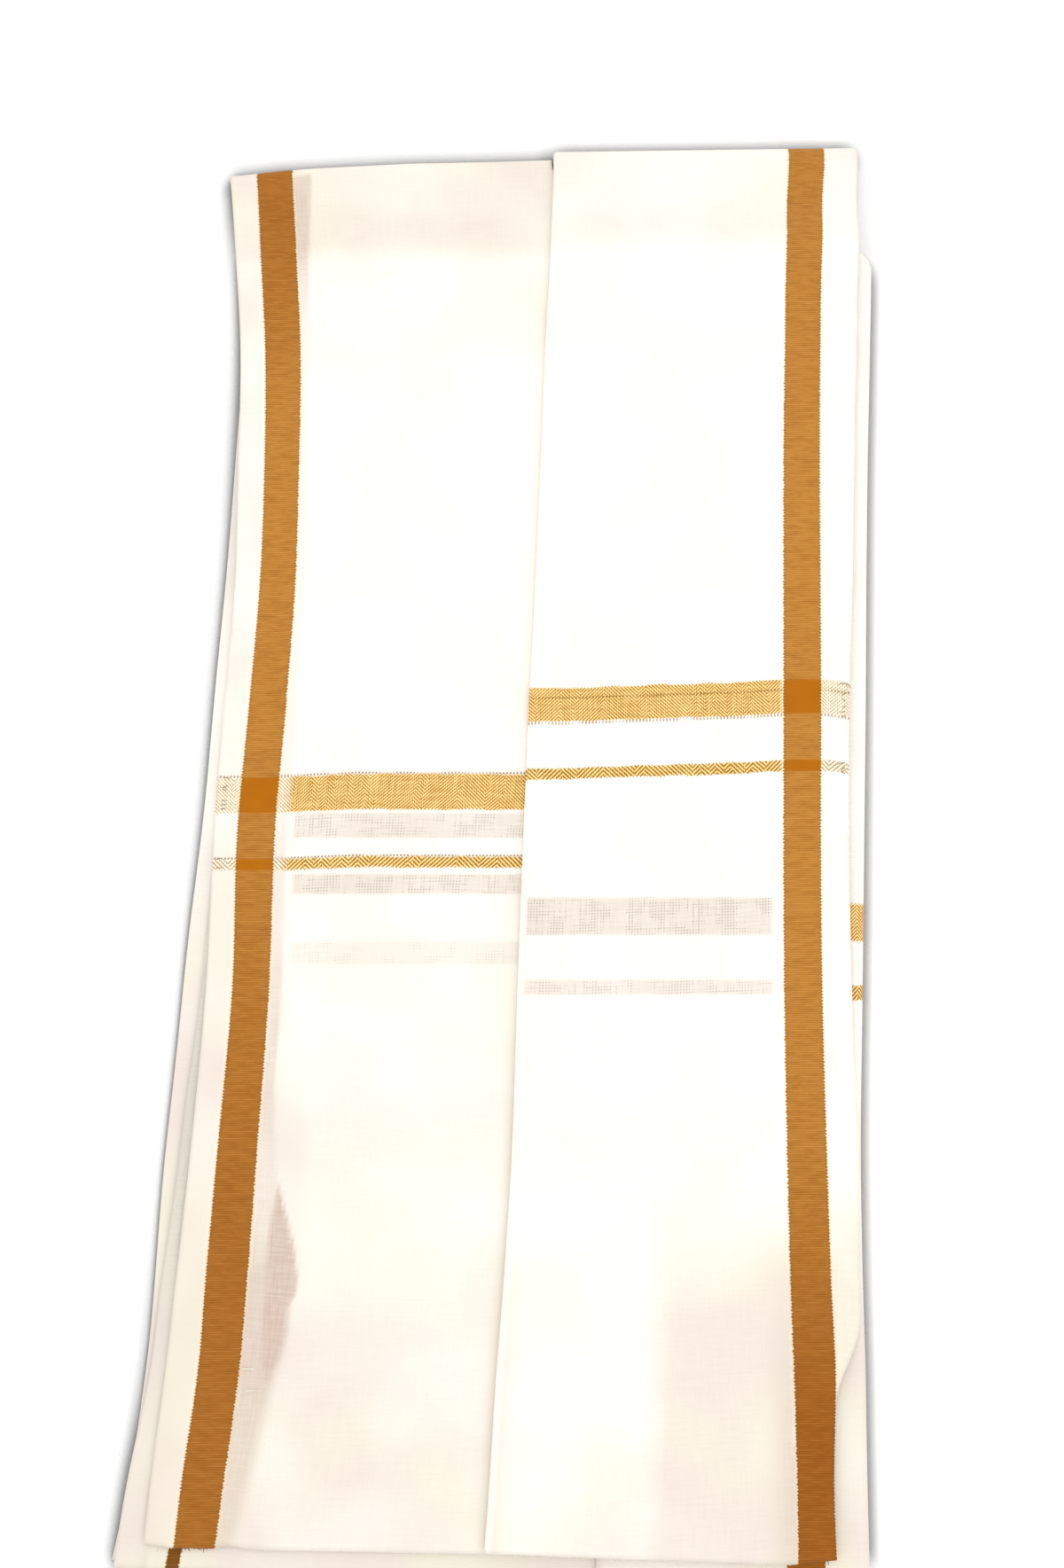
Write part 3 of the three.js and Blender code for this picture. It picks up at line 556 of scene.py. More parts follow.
    # Gold bands: mustard weft over cream warp in a broken herringbone. Its diagonals are drawn 1 mm
    # apart and turn at random every 2 to 8 mm, and beads of warp cross them every 0.5 mm.
    leg_place = add("Math", [u, 0.42], "MULTIPLY")
    leg_place = add("Math", [patch, 2.0, leg_place], "MULTIPLY_ADD")
    leg_chance = add("TexWhiteNoise", [add("Math", [leg_place], "FLOOR")], noise_dimensions="1D")
    leg_turn = add("Math", [leg_chance, 0.5], "GREATER_THAN")
    leg_sign = add("Math", [leg_turn, 2.0, -1.0], "MULTIPLY_ADD")
    phase = add("Math", [leg_sign, u, v], "MULTIPLY_ADD")
    # In the narrow band they are drawn 1.24 mm apart and a little deeper in colour.
    twill_half = add("MapRange", [v, narrow_below - 1, narrow_below + 1, 0.62, 0.5])
    twill = add("Math", [phase, twill_half], "PINGPONG")
    bead = add("Math", [u, 0.25], "PINGPONG")
    thread = add("Math", [bead, 0.8, twill], "MULTIPLY_ADD")
    faded = add("MapRange", [yarn, 0.7, 1.3, 0.09, -0.09])
    thread = add("Math", [thread, faded], "ADD")
    closer = add("MapRange", [v, narrow_below - 1, narrow_below + 1, -0.09, 0])
    thread = add("Math", [thread, closer], "ADD")
    golds = []
    for first, *between, last in (
        ("#7A5418", "#8A6020", "#BC8A3F", "#DCB470", "#F4DA98", "#F4DEA8"),
        ("#96836A", "#A89274", "#D3C0A0", "#E6DAC1", "#ECE5D5", "#EEE8DC"),
    ):
        golds.append(add("ValToRGB", [thread]))
        elements = golds[-1].color_ramp.elements
        for place_on_ramp, colour in zip((0.13, 0.27, 0.42, 0.58), between):
            elements.new(place_on_ramp).color = linear(colour)
        elements[0].color, elements[-1].color = linear(first), linear(last)
    # Beside the stripe the ends are set wider, so there the band is pale: it is mostly cream warp.
    off_middle = add("Math", [u, STRIPE_FROM_SELVAGE + STRIPE_WIDTH / 2], "SUBTRACT")
    from_middle = add("Math", [off_middle], "ABSOLUTE")
    pale_end = STRIPE_WIDTH / 2 + pale_inner
    blend = pale_inner / 2
    pale = add("MapRange", [from_middle, pale_end - blend, pale_end + blend, 1, 0])
    outside = add("Math", [u, STRIPE_FROM_SELVAGE], "LESS_THAN")
    pale = add("Math", [pale, outside], "MAXIMUM")
    gold = add("Mix", [pale, *golds], "RGBA")
    # Where the bands are. Warp ends tooth their edges, and their picks end raggedly near the selvage.
    tooth_u = add("Math", [u, 0.465], "PINGPONG")
    wander = add("Math", [patch, 0.9, -0.55], "MULTIPLY_ADD")
    toothed = add("Math", [tooth_u, 0.8, wander], "MULTIPLY_ADD")
    toothed_v = add("Math", [v, toothed], "ADD")
    in_band = add("ValToRGB", [add("MapRange", [toothed_v, *ON_RAMP])])
    ramp_rows(in_band, [(*band, 1) for band in bands], 0.12)
    pick_end = add("Math", [weft_slub, 2.6, u], "MULTIPLY_ADD")
    inside_selvage = add("MapRange", [pick_end, selvage_at + 1.2, selvage_at + 1.9, 0, 1])
    in_band = add("Math", [in_band, inside_selvage], "MULTIPLY")
    cloth = add("Mix", [in_band, cloth, gold], "RGBA")
    # Single gold picks that float over every second end, as a row of dots.
    pick_v = add("MapRange", [v, *ON_RAMP])
    picks = add("ValToRGB", [pick_v])
    ramp_rows(picks, [(place + 0.25, place - 0.25, 1) for place in dotted_picks], 0.1)
    float_gap = add("MapRange", [tooth_u, 0.14, 0.26, 0, 1])
    dots = add("Math", [picks, float_gap], "MULTIPLY")
    worn = add("MapRange", [patch, 0.36, 0.5, 0.4, 1])
    dots = add("Math", [dots, worn], "MULTIPLY")
    cloth = add("Mix", [dots, cloth, "#7E5A24"], "RGBA")

    # Mustard stripe: dense dyed warp over weft ribs 0.64 mm apart, each lit or in shade over lengths
    # of its own.
    rib_v = add("Math", [patch, 0.3, v], "MULTIPLY_ADD")
    rib = add("Math", [rib_v, 0.32], "PINGPONG")
    rib_number = add("Math", [add("Math", [rib_v, 0.64], "DIVIDE")], "FLOOR")
    rib_place = add("CombineXYZ", [u, rib_number])
    rib_grid = add("Mapping", {"Vector": rib_place, "Scale": (0.2, 3.7, 1)})
    rib_tone = add("TexNoise", [rib_grid, 1, 2])
    rib_top = add("MapRange", [rib, 0.16, 0.26, 0, 1])
    rib_lit = add("MapRange", [rib_tone, 0.46, 0.66, 0.05, 0.6])
    rib_lit = add("Math", [rib_lit, rib_top], "MULTIPLY")
    # Fewer lit ribs where the stripe's painted shade is deep.
    plain = add("MapRange", [layers_and_shade.outputs["Alpha"], 0.1, 0.9, 1, 0.35])
    rib_lit = add("Math", [rib_lit, plain], "MULTIPLY")
    rib_foot = add("MapRange", [rib, 0.15, 0.06, 0, 1])
    rib_shade = add("MapRange", [rib_tone, 0.52, 0.36, 0.1, 0.7])
    rib_shade = add("Math", [rib_shade, rib_foot], "MULTIPLY")
    # Painted shade: the stripe's colour goes from the lit towards the shaded one as the attribute's
    # alpha grows.
    dyed = add("Mix", [layers_and_shade.outputs["Alpha"], dye_lit_to_shaded[0], dye_lit_to_shaded[1]], "RGBA")
    dyed = add("Mix", [rib_shade, dyed, "#71400F"], "RGBA")
    dyed = add("Mix", [rib_lit, dyed, "#C18A48"], "RGBA")
    # Where stripe and band cross, both yarns are dyed, so the colour is deep and plain.
    deep = add("Mix", [patch, "#9C5A04", "#AA630A"], "RGBA")
    crossing = add("ValToRGB", [pick_v])
    ramp_rows(crossing, [(*band, 0.97) for band in bands], 0.12)
    dyed = add("Mix", [crossing, dyed, deep], "RGBA")
    # The stripe's edges are stepped by the picks, with a tooth every 0.9 mm, dark at its foot.
    tooth = add("Math", [v, 0.45], "PINGPONG")
    tooth_size = add("Math", [tooth, 0.62, -0.55], "MULTIPLY_ADD")
    jagged = add("Math", [weft_slub, 0.9, tooth_size], "MULTIPLY_ADD")
    jagged = add("Math", [from_middle, jagged], "ADD")
    stripe_end = STRIPE_WIDTH / 2
    stripe = add("MapRange", [jagged, stripe_end + 0.1, stripe_end - 0.1, 0, 1])
    near_end = add("MapRange", [jagged, stripe_end - 0.6, stripe_end - 0.3, 0, 0.75])
    tooth_foot = add("MapRange", [tooth, 0.2, 0.09, 0, 1])
    tooth_foot = add("Math", [tooth_foot, near_end], "MULTIPLY")
    dyed = add("Mix", [tooth_foot, dyed, "#694013"], "RGBA")
    # Just outside the stripe's edges the ends are tinted yellow-tan, fading out over 0.4 mm.
    yellow_edge = add("MapRange", [jagged, stripe_end + 0.1, stripe_end + 0.5, 0.5, 0])
    cloth = add("Mix", [yellow_edge, cloth, "#D6B677"], "RGBA")
    final = add("Mix", [stripe, cloth, dyed], "RGBA")
    tree.links.new(final.outputs[2], shader.inputs["Base Color"])

    # Fine relief: threads crossing 0.45 mm by 0.6 mm apart, slubs, and the ribs of the stripe.
    warp_thread = add("Math", [u, 0.225], "PINGPONG")
    weft_thread = add("Math", [v, 0.3], "PINGPONG")
    threads = add("Math", [warp_thread, weft_thread], "ADD")
    relief = add("Math", [yarn, 0.6, threads], "MULTIPLY_ADD")
    relief = add("Mix", [stripe, relief, rib], "FLOAT")
    raised = add("Bump", {"Height": relief, "Distance": 0.12 * MM, "Strength": 0.6})
    tree.links.new(raised.outputs[0], shader.inputs["Normal"])
    matt = {"Roughness": 0.92, "Specular IOR Level": 0.08}
    set_inputs(shader, {**matt, "Sheen Weight": 0.05, "Sheen Roughness": 0.5})
    return material


RIGHT_BANDS = [(42.0, 32.2), (18.4, 15.3)]
RIGHT_BELOW = [(-18.8, -29.4, 0.46), (-42.0, -46.2, 0.38)]
right_cotton = cotton_cloth(
    "handloom_cotton_right", RIGHT_BANDS, (38.9, 31.6), RIGHT_BELOW, (-10.0, 74.5), selvage_at=0.9
)
right_stretch = shell_mesh(
    "right_stretch", right_cotton, right_outer, right_inner, across, along, right_layers_and_shade
)
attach(right_stretch, "root")
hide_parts("right_front")

# ---- The right stretch's loose ends ----
# The frayed ends of the warp along the cut, twisted cream and mustard yarn, and the ends of the
# gold weft where its bands stop short of the selvage.

random = np.random.default_rng(11)
shares_along = np.sort(random.uniform(0.01, 0.99, 110))
frayed_lengths = 0.35 + 0.5 * random.random(110) + 1.1 * random.random(110) ** 5
right_threads = cut_end_threads(
    "right_cut_threads", right_cotton,
    *(values[0, :TOP_COLUMNS] for values in (right_outer, across, along, right_layers_and_shade)),
    shares_along, frayed_lengths, 12,
)
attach(right_threads, "root")

weft_yarn = bpy.data.materials.new("twisted_gold_weft_yarn")  # the bands' own yarn, in its shade
weft_yarn.use_nodes = True
yarn_look = {"Base Color": linear("#8F7350"), "Roughness": 0.9, "Specular IOR Level": 0.1}
set_inputs(weft_yarn.node_tree.nodes["Principled BSDF"], yarn_look)

WEFT_YARN_RADIUS, WEFT_YARN_LIFT = 0.13, 0.08
# y of each end, its heading, its turn and its length
RIGHT_WEFT_ENDS = np.array([
    (43.3, 3.0, 0.5, 2.4), (43.0, 0.4, -1.9, 2.0), (40.4, 3.2, 0.9, 1.7), (38.2, 3.0, -0.8, 1.4),
    (36.6, 3.3, 0.7, 1.2), (34.9, 2.9, 0.5, 1.5), (33.6, 3.3, -0.6, 1.3), (20.0, 3.0, 0.6, 2.2),
    (18.6, 3.2, 1.2, 1.5), (17.0, 3.0, -0.6, 1.3),
])


def weft_end_threads(name, table, selvage_name, inside, top_height):
    """Ends of the gold weft: one for each row (y, heading, turn, length) of the table, inside the
    selvage by so much along x, and resting on the cloth."""
    y, zero = table[:, 0], np.zeros(len(table))
    x = edge(selvage_name, y) + inside
    z = pile_height(x, y) + top_height + WEFT_YARN_LIFT
    threads = thread_mesh(
        name, weft_yarn, np.stack([x, y, z], -1), *table.T[1:], zero, zero + WEFT_YARN_RADIUS,
        zero, y, np.zeros((len(table), 4)),
    )
    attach(threads, "root")
    return threads


right_weft_ends = weft_end_threads(
    "right_weft_ends", RIGHT_WEFT_ENDS, "right selvage", -1.2, RIGHT_TOP_HEIGHT
)

# ---- The left stretch ----
# The other half of the front, with the selvage and stripe on its left and its raw cut end below.
# It lies over the pile's left edge, runs on under the right stretch, and round the top fold too.

LEFT_CUT_Y = -195.0
LEFT_CUT_SKEW = [(-100, -93, -82, -76, -50, -5), (-1.2, -2.2, -2.4, -1.3, -1.6, -2.5)]
LEFT_FOLD_X = [-85.0, -71.0, -62.0, -32.0, -5.0, 12.6]  # x along the top fold, and its y there
LEFT_FOLD_Y = [204.6, 206.2, 207.0, 208.6, 209.2, 209.8]
LEFT_OVERLAP = 30.0
LEFT_TOP_HEIGHT = WALL
LEFT_FOLD_RADIUS = (FOLD_HEIGHT + LEFT_TOP_HEIGHT) / 2
LEFT_COLUMNS = 112
LEFT_CREASES = [
    (-30, 110, 94, 48, 3.4, 0.16), (-52, 150, 82, 30, 2.6, 0.14), (-14, 40, 88, 60, 3.2, 0.14),
    (-40, -70, 84, 44, 3.4, 0.18), (-26, -140, 98, 42, 3.0, 0.18), (-68, -150, 78, 44, 2.6, -0.25),
    (-56, -120, 70, 30, 3.4, -0.3), (-30, 172, 3, 44, 2.0, 0.16), (-60, -182, 6, 26, 2.2, 0.2),
    (-88, -150, 82, 40, 1.8, 0.14),
]

parts, shares = (a[:, None] for a in stretch_rows(LEFT_CUT_Y))
nominal_y = stretch_y(parts, shares, LEFT_CUT_Y, LEFT_FOLD_Y[0] - LEFT_FOLD_RADIUS)
left_x = edge("left selvage", nominal_y)
# On the slope to the top fold the part that runs under the right stretch narrows to nothing.
under_right = np.select([parts == 0, parts == 1], [1.0, 1 - smooth(shares)], 0.0)
right_x = edge("split", nominal_y) - GAP + (LEFT_OVERLAP + GAP) * under_right
x = left_x + (right_x - left_x) * np.linspace(0, 1, LEFT_COLUMNS)[None, :]
turn_y = np.interp(x, LEFT_FOLD_X, LEFT_FOLD_Y) - LEFT_FOLD_RADIUS
y = stretch_y(parts, shares, LEFT_CUT_Y, turn_y)
near_cut = smooth((LEFT_CUT_Y + CUT_SKEW_REACH - y) / CUT_SKEW_REACH) * (parts == 0)
y = y + np.interp(x, *LEFT_CUT_SKEW) * near_cut
uncovered = smooth((edge("split", nominal_y) - 2 - x) / 8) * smooth((x - left_x) / 6)
relief = ridges(x, y, LEFT_CREASES) * uncovered
relief = relief * smooth((PILE_TOP_END + RELIEF_FADE - y) / RELIEF_FADE)
heights = LEFT_FOLD_RADIUS, LEFT_TOP_HEIGHT, relief
left_outer, left_inner = (
    stretch_points(parts, shares, x, y, 0 * x + inset, turn_y, *heights) for inset in (0, CLOTH)
)
stripe_outer = edge("left stripe outer", nominal_y)
stripe_inner = edge("left stripe inner", nominal_y)
across = STRIPE_FROM_SELVAGE + (x - stripe_outer) * STRIPE_WIDTH / (stripe_inner - stripe_outer)
along = along_cloth(parts, shares, y, turn_y, LEFT_FOLD_RADIUS)
along = along - np.where(parts <= 1, np.interp(x, [-85, -60, -45, 5], [-0.6, -0.5, 0.1, 0]), 0)

on_front = (parts <= 1) * np.ones(x.shape)
# Between the stripe and the pile's edge only a loose layer lies below, so the cloth is painted greyer,
# partly for what is seen through and partly as shade. In one place it is doubled: there the loose layer
# ends in a triangle, at LOOSE_X, painted darker as a shadow where it drops off the pile, darkest right
# of the line where the doubling begins.
LOOSE_Y = np.array([200, 170, 123, 90, 74, 56, 24, -8, -53, -65, -82, -98, -107, -116, -125, -129, -132,
                    -139, -146, -151, -158, -172, -196])
LOOSE_X = np.array([-62.1, -61.8, -61.0, -60.9, -61.5, -62.4, -63.1, -65.3, -65.6, -67.0, -67.0, -65.8,
                    -63.0, -60.5, -59.3, -59.8, -61.6, -62.0, -63.7, -66.0, -67.3, -70.4, -76.5])
DOUBLED_SHADOW_Y = np.array([-96, -108, -114, -121, -128, -141, -148, -155])
DOUBLED_SHADOW_X = np.array([-65.0, -67.3, -68.0, -68.6, -68.8, -69.3, -69.5, -66.5])
LEDGE_Y = [-196, -165, -150, -125, -112, -90, -75, -53, -30, -8, 24, 150, 170, 180, 200]
LEDGE_SHOW_AND_SHADE = [0.48, 0.56, 0.62, 0.6, 0.38, 0.35, 0.5, 0.48, 0.34, 0.3, 0.17, 0.15, 0.38, 0.68, 0.62]
loose_x = np.interp(-y, -LOOSE_Y, LOOSE_X)
loose_edge_width = np.interp(y, [-160, -145, -127, -80], [5.0, 3.6, 1.4, 1.4])
ledge = smooth(x - stripe_inner + 0.5) * smooth((loose_x - x) / loose_edge_width + 0.5)
doubled_shadow = smooth((x - np.interp(-y, -DOUBLED_SHADOW_Y, DOUBLED_SHADOW_X)) / 1.6 + 0.5) * smooth((-95 - y) / 8)
doubled_shadow = doubled_shadow * smooth((y + 158) / 8)
ledge_show_and_shade = np.interp(y, LEDGE_Y, LEDGE_SHOW_AND_SHADE)
# Painted shade: a soft patch beyond the ledge, dimmer cloth by the selvage in its lower part, and a
# thin line along the centre fold.
shade_beyond_ledge = smooth((-54 - x) / 7) * bump(y, -94, 30) * smooth(x - stripe_inner)
selvage_dim = smooth(stripe_outer - x) * smooth((30 - y) / 90)
fold_shade = bump(x, edge("split", nominal_y), 2.2) * smooth((-20 - y) / 80)
show_through_and_shade = ledge * (ledge_show_and_shade + doubled_shadow * (0.88 - ledge_show_and_shade)) + 0.2 * shade_beyond_ledge * (1 - ledge)
show_through_and_shade += 0.14 * selvage_dim + 0.25 * fold_shade
# The cream tone is deeper towards the top fold, the lower end, a hollow low on the left and the left
# edge: partly the cloth's own tone, partly painted shade.
cream_and_shade = (
    smooth((y - 172) / 8) * 0.5
    + smooth((y - 110) / 70) * 0.25
    + smooth((10 - y) / 60) * 0.22
    + smooth((-80 - y) / 100) * 0.4
    + 0.35 * bump(x, -45, 20) * bump(y, -135, 50)
    + 0.4 * smooth((-60 - x) / 20)
)
# Painted shade: the stripe is darker towards its top and bottom ends, where less light falls.
LEFT_STRIPE_SHADE_Y = [-195, -110, -60, -30, 0, 40, 130, 150, 190, 205]
LEFT_STRIPE_SHADE = [0.68, 0.68, 0.5, 0.35, 0.15, 0.06, 0.06, 0.36, 0.7, 0.6]
stripe_shade = np.interp(y, LEFT_STRIPE_SHADE_Y, LEFT_STRIPE_SHADE)
left_layers_and_shade = np.stack([np.clip(show_through_and_shade, 0, 1) * on_front, on_front, np.clip(cream_and_shade, 0, 1), stripe_shade], -1)
LEFT_BANDS = [(17.2, 6.7), (-6.7, -9.9)]
LEFT_BELOW = [(5.8, -1.5, 0.42), (-11.9, -17.6, 0.44), (-31.2, -37.7, 0.2)]
left_cotton = cotton_cloth(
    "handloom_cotton_left", LEFT_BANDS, (17.5, -6.65), LEFT_BELOW, (-63.0, 12.0), pale_inner=3.2,
    selvage_at=1.8,
)
left_stretch = shell_mesh(
    "left_stretch", left_cotton, left_outer, left_inner, across, along, left_layers_and_shade
)
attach(left_stretch, "root")
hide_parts("left_front")

# ---- The left stretch's loose ends ----
# The frayed ends of the warp along its cut, longest by the selvage, two thick weft threads that
# stand out beside the stripe, and the ends of the gold weft at the selvage.

shares_along = np.sort(np.concatenate([
    random.uniform(0.005, 0.12, 34), random.uniform(0.12, 0.14, 8), random.uniform(0.0, 0.74, 70),
]))
frayed_lengths = 0.3 + 0.5 * random.random(112) + 1.5 * random.random(112) ** 3 * (shares_along < 0.25)
left_threads = cut_end_threads(
    "left_cut_threads", left_cotton, left_outer[0], across[0], along[0], left_layers_and_shade[0],
    shares_along, frayed_lengths, 14,
)
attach(left_threads, "root")

# y of each thick thread, its heading, turn, length and radius
THICK_WEFT = np.array([(-149.7, 0.0, -0.06, 7.6, 0.17), (-155.4, 0.1, -0.2, 4.6, 0.15)])
thick_y = THICK_WEFT[:, 0]
thick_x = edge("left stripe inner", thick_y) + np.array([0.6, 2.6])
thick_roots = np.stack([thick_x, thick_y, pile_height(thick_x + 3, thick_y) + LEFT_TOP_HEIGHT], -1)
thick_threads = thread_mesh(
    "left_thick_weft", left_cotton, thick_roots, *THICK_WEFT.T[1:4], np.zeros(2),
    THICK_WEFT[:, 4], np.full(2, PLAIN_CLOTH), thick_y, np.zeros((2, 4)),
)
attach(thick_threads, "root")

LEFT_WEFT_ENDS = np.array([
    (16.6, 0.1, -0.4, 1.9), (13.6, 0.15, 0.3, 1.5), (13.1, -0.3, 0.2, 1.2), (9.8, 0.2, -0.5, 1.3),
    (8.6, -0.1, 0.3, 1.5), (7.3, 0.1, 0.1, 1.4), (-7.3, 0.0, 0.4, 1.4), (-9.9, 0.2, -0.3, 1.7),
])
inside = np.where(LEFT_WEFT_ENDS[:, 0] > 0, 1.7, 1.2)
left_weft_ends = weft_end_threads(
    "left_weft_ends", LEFT_WEFT_ENDS, "left selvage", inside, LEFT_TOP_HEIGHT
)

# ---- The right turned fold ----
# A lower layer of the pile comes out along the right side and turns back under it in one round
# fold, with a rounded top corner. It has its own gold bands.

NEXT_CUT_Y = -203.5
TURNED_CUT_Y = NEXT_CUT_Y + 0.6
CORNER_ROUND = 6.0
UNDER_FLANGE = 14.0


def corner_inset(y):
    """How far the top corner is drawn in at y: a quarter circle of CORNER_ROUND."""
    to_corner = np.clip((y - PILE_TOP_END + CORNER_ROUND) / CORNER_ROUND, 0, 1)
    return CORNER_ROUND * (1 - np.sqrt(1 - to_corner**2))


def layer_rows(cut_y, step):
    """y of each row of a layer in the pile, closer together towards its top end."""
    steps = np.linspace(0, 1, round((PILE_TOP_END - cut_y) / step))
    return cut_y + (PILE_TOP_END - cut_y) * (1 - (1 - steps) ** 1.25)


y = layer_rows(TURNED_CUT_Y, ROW_STEP)[:, None]
axis_x = edge("right fold", y) - FOLD_RADIUS
centre_x = axis_x - corner_inset(y)
start_x = edge("split", y) + LEFT_OVERLAP + 2 * GAP
flange = np.linspace(0, 1, 46, endpoint=False)[None, :] ** 0.8
turn = np.linspace(0, math.pi, 15)[None, :]
lower = np.linspace(0, 1, 7)[None, 1:]


def turned_fold_points(inset):
    """A flange level with the pile, a half circle down its side, and a short flange back under it,
    inset below the outer face."""
    flat_x = start_x + (centre_x - start_x) * flange
    flat_z = pile_height(flat_x, y) + WALL - inset
    radius = (pile_height(centre_x, y) + WALL - FOLD_BOTTOM) / 2
    round_x = centre_x + (radius - inset) * np.sin(turn)
    round_z = FOLD_BOTTOM + radius + (radius - inset) * np.cos(turn)
    lower_x = centre_x + (axis_x - UNDER_FLANGE - centre_x) * lower
    x = np.concatenate([flat_x, round_x, lower_x], 1)
    z = np.concatenate([flat_z, round_z, np.full(lower_x.shape, FOLD_BOTTOM + inset)], 1)
    return np.stack([x, y + 0 * x, z], -1)


outer, inner = turned_fold_points(0), turned_fold_points(CLOTH)
steps_across = np.linalg.norm(np.diff(outer, axis=1), axis=2)
from_start = np.concatenate([np.zeros((len(y), 1)), np.cumsum(steps_across, 1)], 1)
x = outer[..., 0]
# Its own stripe lies left of the front one, and lengths across are counted from its middle.
STRIPE_SHIFT = 2.7
stripe_x = (edge("right stripe outer", y) + edge("right stripe inner", y)) / 2 - STRIPE_SHIFT
across = STRIPE_FROM_SELVAGE + STRIPE_WIDTH / 2 + np.abs(start_x + from_start - stripe_x)
along = y - 0.25 + 0 * x
# Painted shade: deeper cream towards the lower end and a faint darkening low on the right; its stripe
# is given nearly its shaded colour.
cream_and_shade = 0.8 * smooth((-60 - y) / 90) + 0 * x
show_through_and_shade = 0.03 * smooth((-110 - y) / 60) * smooth((x - 80) / 8)
turned_layers_and_shade = np.stack([show_through_and_shade, 0 * x, np.clip(cream_and_shade, 0, 1), 0.9 + 0 * x], -1)
turned_cotton = cotton_cloth("handloom_cotton_turned", [(-20.6, -31.2), (-43.8, -48.1)])
turned_fold = shell_mesh("right_turned_fold", turned_cotton, outer, inner, across, along, turned_layers_and_shade)
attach(turned_fold, "root")
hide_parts("right_under")

# ---- The next layer ----
# The layer right under the two front stretches. It shows along the lower left side and past the
# raw cut ends, where its own stripe comes out from under the left one.

SAG_WIDTH = 9.0
SAG = LEDGE_HEIGHT - GAP - PITCH - WALL


def layer_sheet(cut_y, below, left_name, right_x_at, columns, dim, shaded_edge, wave):
    """A flat layer of the pile, `below` under the front stretches, that sags outside the left selvage
    by SAG over SAG_WIDTH and has a slight wave in its edge. dim is (y, painted shade) along it, and it
    is painted darker still along the shaded_edge of the cloth above."""
    y = layer_rows(cut_y, 1.8)[:, None]
    left_x = edge(left_name, y)
    x = left_x + (right_x_at(y) - left_x) * np.linspace(0, 1, columns)[None, :] ** 1.15
    near_edge = np.exp(-(x - left_x) / 3.0)
    x = x + near_edge * (0.25 * np.sin(y / wave) + 0.15 * np.sin(y / (wave * 0.37) + 1))
    sag = SAG * np.clip((edge("left selvage", y) - x) / SAG_WIDTH, 0, 1)
    z = pile_height(x, y) - below - sag
    outer = np.stack([x, y + 0 * x, z], -1)
    inner = np.stack([x, y + 0 * x, z - CLOTH], -1)
    # Painted shade: deeper cream towards the lower end, and its stripe in its shaded colour.
    cream_and_shade = np.clip(smooth((30 - y) / 120) + 0 * x, 0, 1)
    show_through_and_shade = np.interp(y, *dim) + 0.4 * bump(x, edge(shaded_edge, y), 0.9)
    layers_and_shade = np.stack([np.clip(show_through_and_shade, 0, 1), 0 * x, cream_and_shade, 1 + 0 * x], -1)
    return y, x, outer, inner, layers_and_shade


y, x, outer, inner, next_layers_and_shade = layer_sheet(
    NEXT_CUT_Y, GAP, "next left", lambda y: edge("right fold", y) - FOLD_RADIUS - corner_inset(y) - 1,
    96, ([-205, -160, -135, -100, -45, 0, 180], [0.1, 0.15, 0.4, 0.7, 0.7, 0.4, 0.4]),
    "left selvage", 23.0,
)
# Its stripe is 3.6 mm wide here, the rest of it being turned under. Lengths across are counted from
# its middle, so that it ends where the full stripe's edge would be.
NEXT_STRIPE_X = 16.6
NEXT_STRIPE_WIDTH = 3.6
from_stripe = np.abs(x - edge("next left", y) - NEXT_STRIPE_X)
across = STRIPE_FROM_SELVAGE + STRIPE_WIDTH - NEXT_STRIPE_WIDTH / 2 + from_stripe
# Painted shadow: the stripe's colours are dark brown, as it lies in shade under the cut ends, and the
# painted shade on this cloth is a greenish grey.
next_cotton = cotton_cloth("handloom_cotton_next", dye_lit_to_shaded=("#7A4C1C", "#6C4214"), shade="#BDB8AD")
next_layer = shell_mesh("next_layer", next_cotton, outer, inner, across, y + 0 * x, next_layers_and_shade)
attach(next_layer, "root")
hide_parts("next_front")

# ---- The left layer ----
# The outermost edge along the left side: a loose selvage of a lower layer, sagging to the surface.

y, x, outer, inner, left_under_layers_and_shade = layer_sheet(
    NEXT_CUT_Y + 1.5, GAP + PITCH, "left under", lambda y: edge("pile left", y) - PILE_EDGE_SPREAD, 26,
    ([-205, -150, -60, 50, 85, 135, 175], [0.05, 0.1, 0.04, 0.04, 0.4, 0.6, 0.6]), "next left", 31.0,
)
left_layer = shell_mesh(
    "left_layer", next_cotton, outer, inner, PLAIN_CLOTH + 0 * x, y + 0 * x, left_under_layers_and_shade
)
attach(left_layer, "root")
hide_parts("left_under")

# ---- The inner folds ----
# The rest of the cloth lies hidden in the pile, folded to and fro. Three of its round folds come
# out one above the other at the lower end.

CORE_END_Y = -209.6
INNER_FOLD_SHORT = [1.6, 0.0, 0.9]  # how far each round fold stops short of the furthest one
LAYERS_INSIDE = 6
INNER_CLOTH = 0.4
TURN_STEPS = 9
TURN_REACH = 0.45  # how far a turn's round reaches past the straight layers

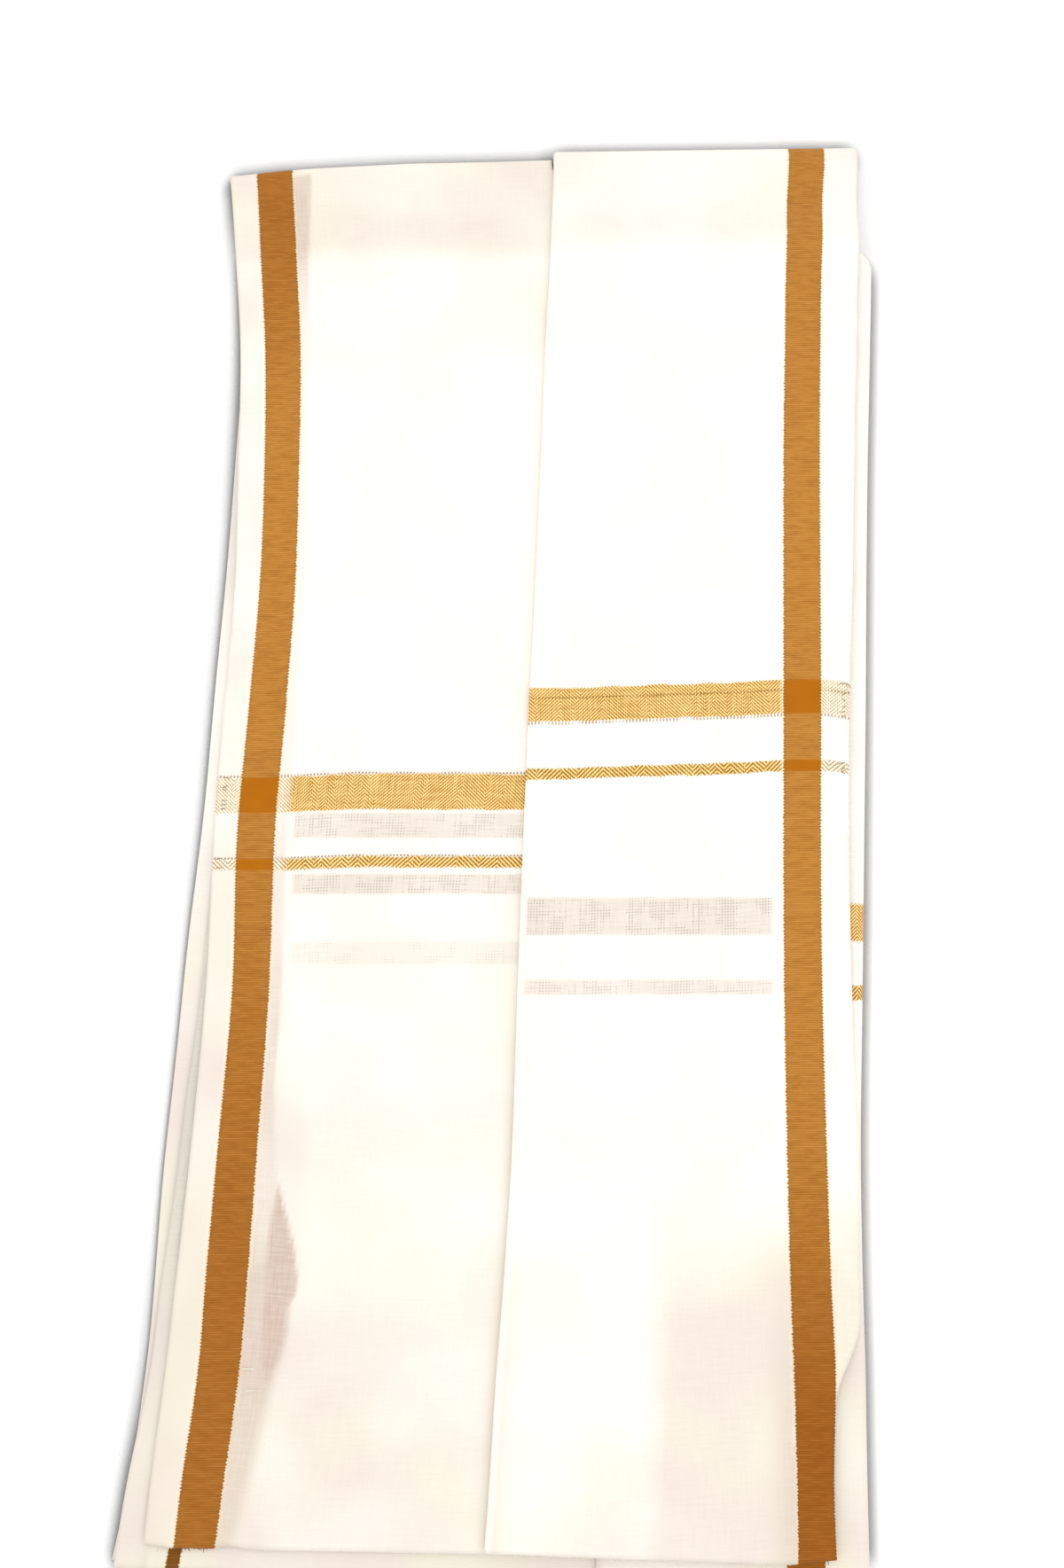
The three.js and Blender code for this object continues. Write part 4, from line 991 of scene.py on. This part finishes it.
path_y, path_share = [], []
for layer in range(LAYERS_INSIDE):
    level = (layer + 0.5) / LAYERS_INSIDE
    ends = [PILE_TOP_END - 2, CORE_END_Y + INNER_FOLD_SHORT[layer // 2] + TURN_REACH + INNER_CLOTH / 2]
    start_y, end_y = ends if layer % 2 == 0 else ends[::-1]
    path_y += list(np.linspace(start_y, end_y, 56))
    path_share += [level] * 56
    if layer < LAYERS_INSIDE - 1:
        angle = np.linspace(0, math.pi, TURN_STEPS + 2)[1:-1]
        side = -1 if layer % 2 == 0 else 1
        path_y += list(end_y + side * TURN_REACH * np.sin(angle))
        path_share += list(level + (1 - np.cos(angle)) / 2 / LAYERS_INSIDE)
path_y, path_share = np.array(path_y)[:, None], np.array(path_share)[:, None]
core_left = edge("pile left", path_y) - PILE_EDGE_SPREAD + 2 * GAP
core_right = edge("right fold", path_y) - FOLD_RADIUS - corner_inset(path_y) - 1
x = core_left + (core_right - core_left) * np.linspace(0, 1, 80)[None, :]
flange_edge = edge("right fold", path_y) - FOLD_RADIUS - UNDER_FLANGE
# One wall lies under the left part of these folds, and past each of these edges one more.
wall_edges = (edge("split", path_y), flange_edge)
underside = PITCH + sum(PITCH * smooth((x - wall_edge + 2) / 2) for wall_edge in wall_edges)
core_top = pile_height(x, path_y) - GAP - PITCH
spacing = (core_top - underside) / LAYERS_INSIDE
z = core_top - (core_top - underside) * path_share
tangent = np.stack([np.gradient(path_y[:, 0])[:, None] + 0 * z, np.gradient(z, axis=0)], -1)
tangent /= np.maximum(np.linalg.norm(tangent, axis=-1, keepdims=True), 1e-9)
half = np.minimum(INNER_CLOTH, 0.6 * spacing) / 2
outer = np.stack([x, path_y - tangent[..., 1] * half, z + tangent[..., 0] * half], -1)
inner = np.stack([x, path_y + tangent[..., 1] * half, z - tangent[..., 0] * half], -1)
core_layers_and_shade = np.stack([0.15 + 0 * x, 0 * x, 0.8 + 0 * x, 0 * x], -1)
inner_folds = shell_mesh(
    "inner_folds", next_cotton, outer, inner, PLAIN_CLOTH + 0 * x, path_y + 0 * x, core_layers_and_shade
)
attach(inner_folds, "root")
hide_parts("folded_core")
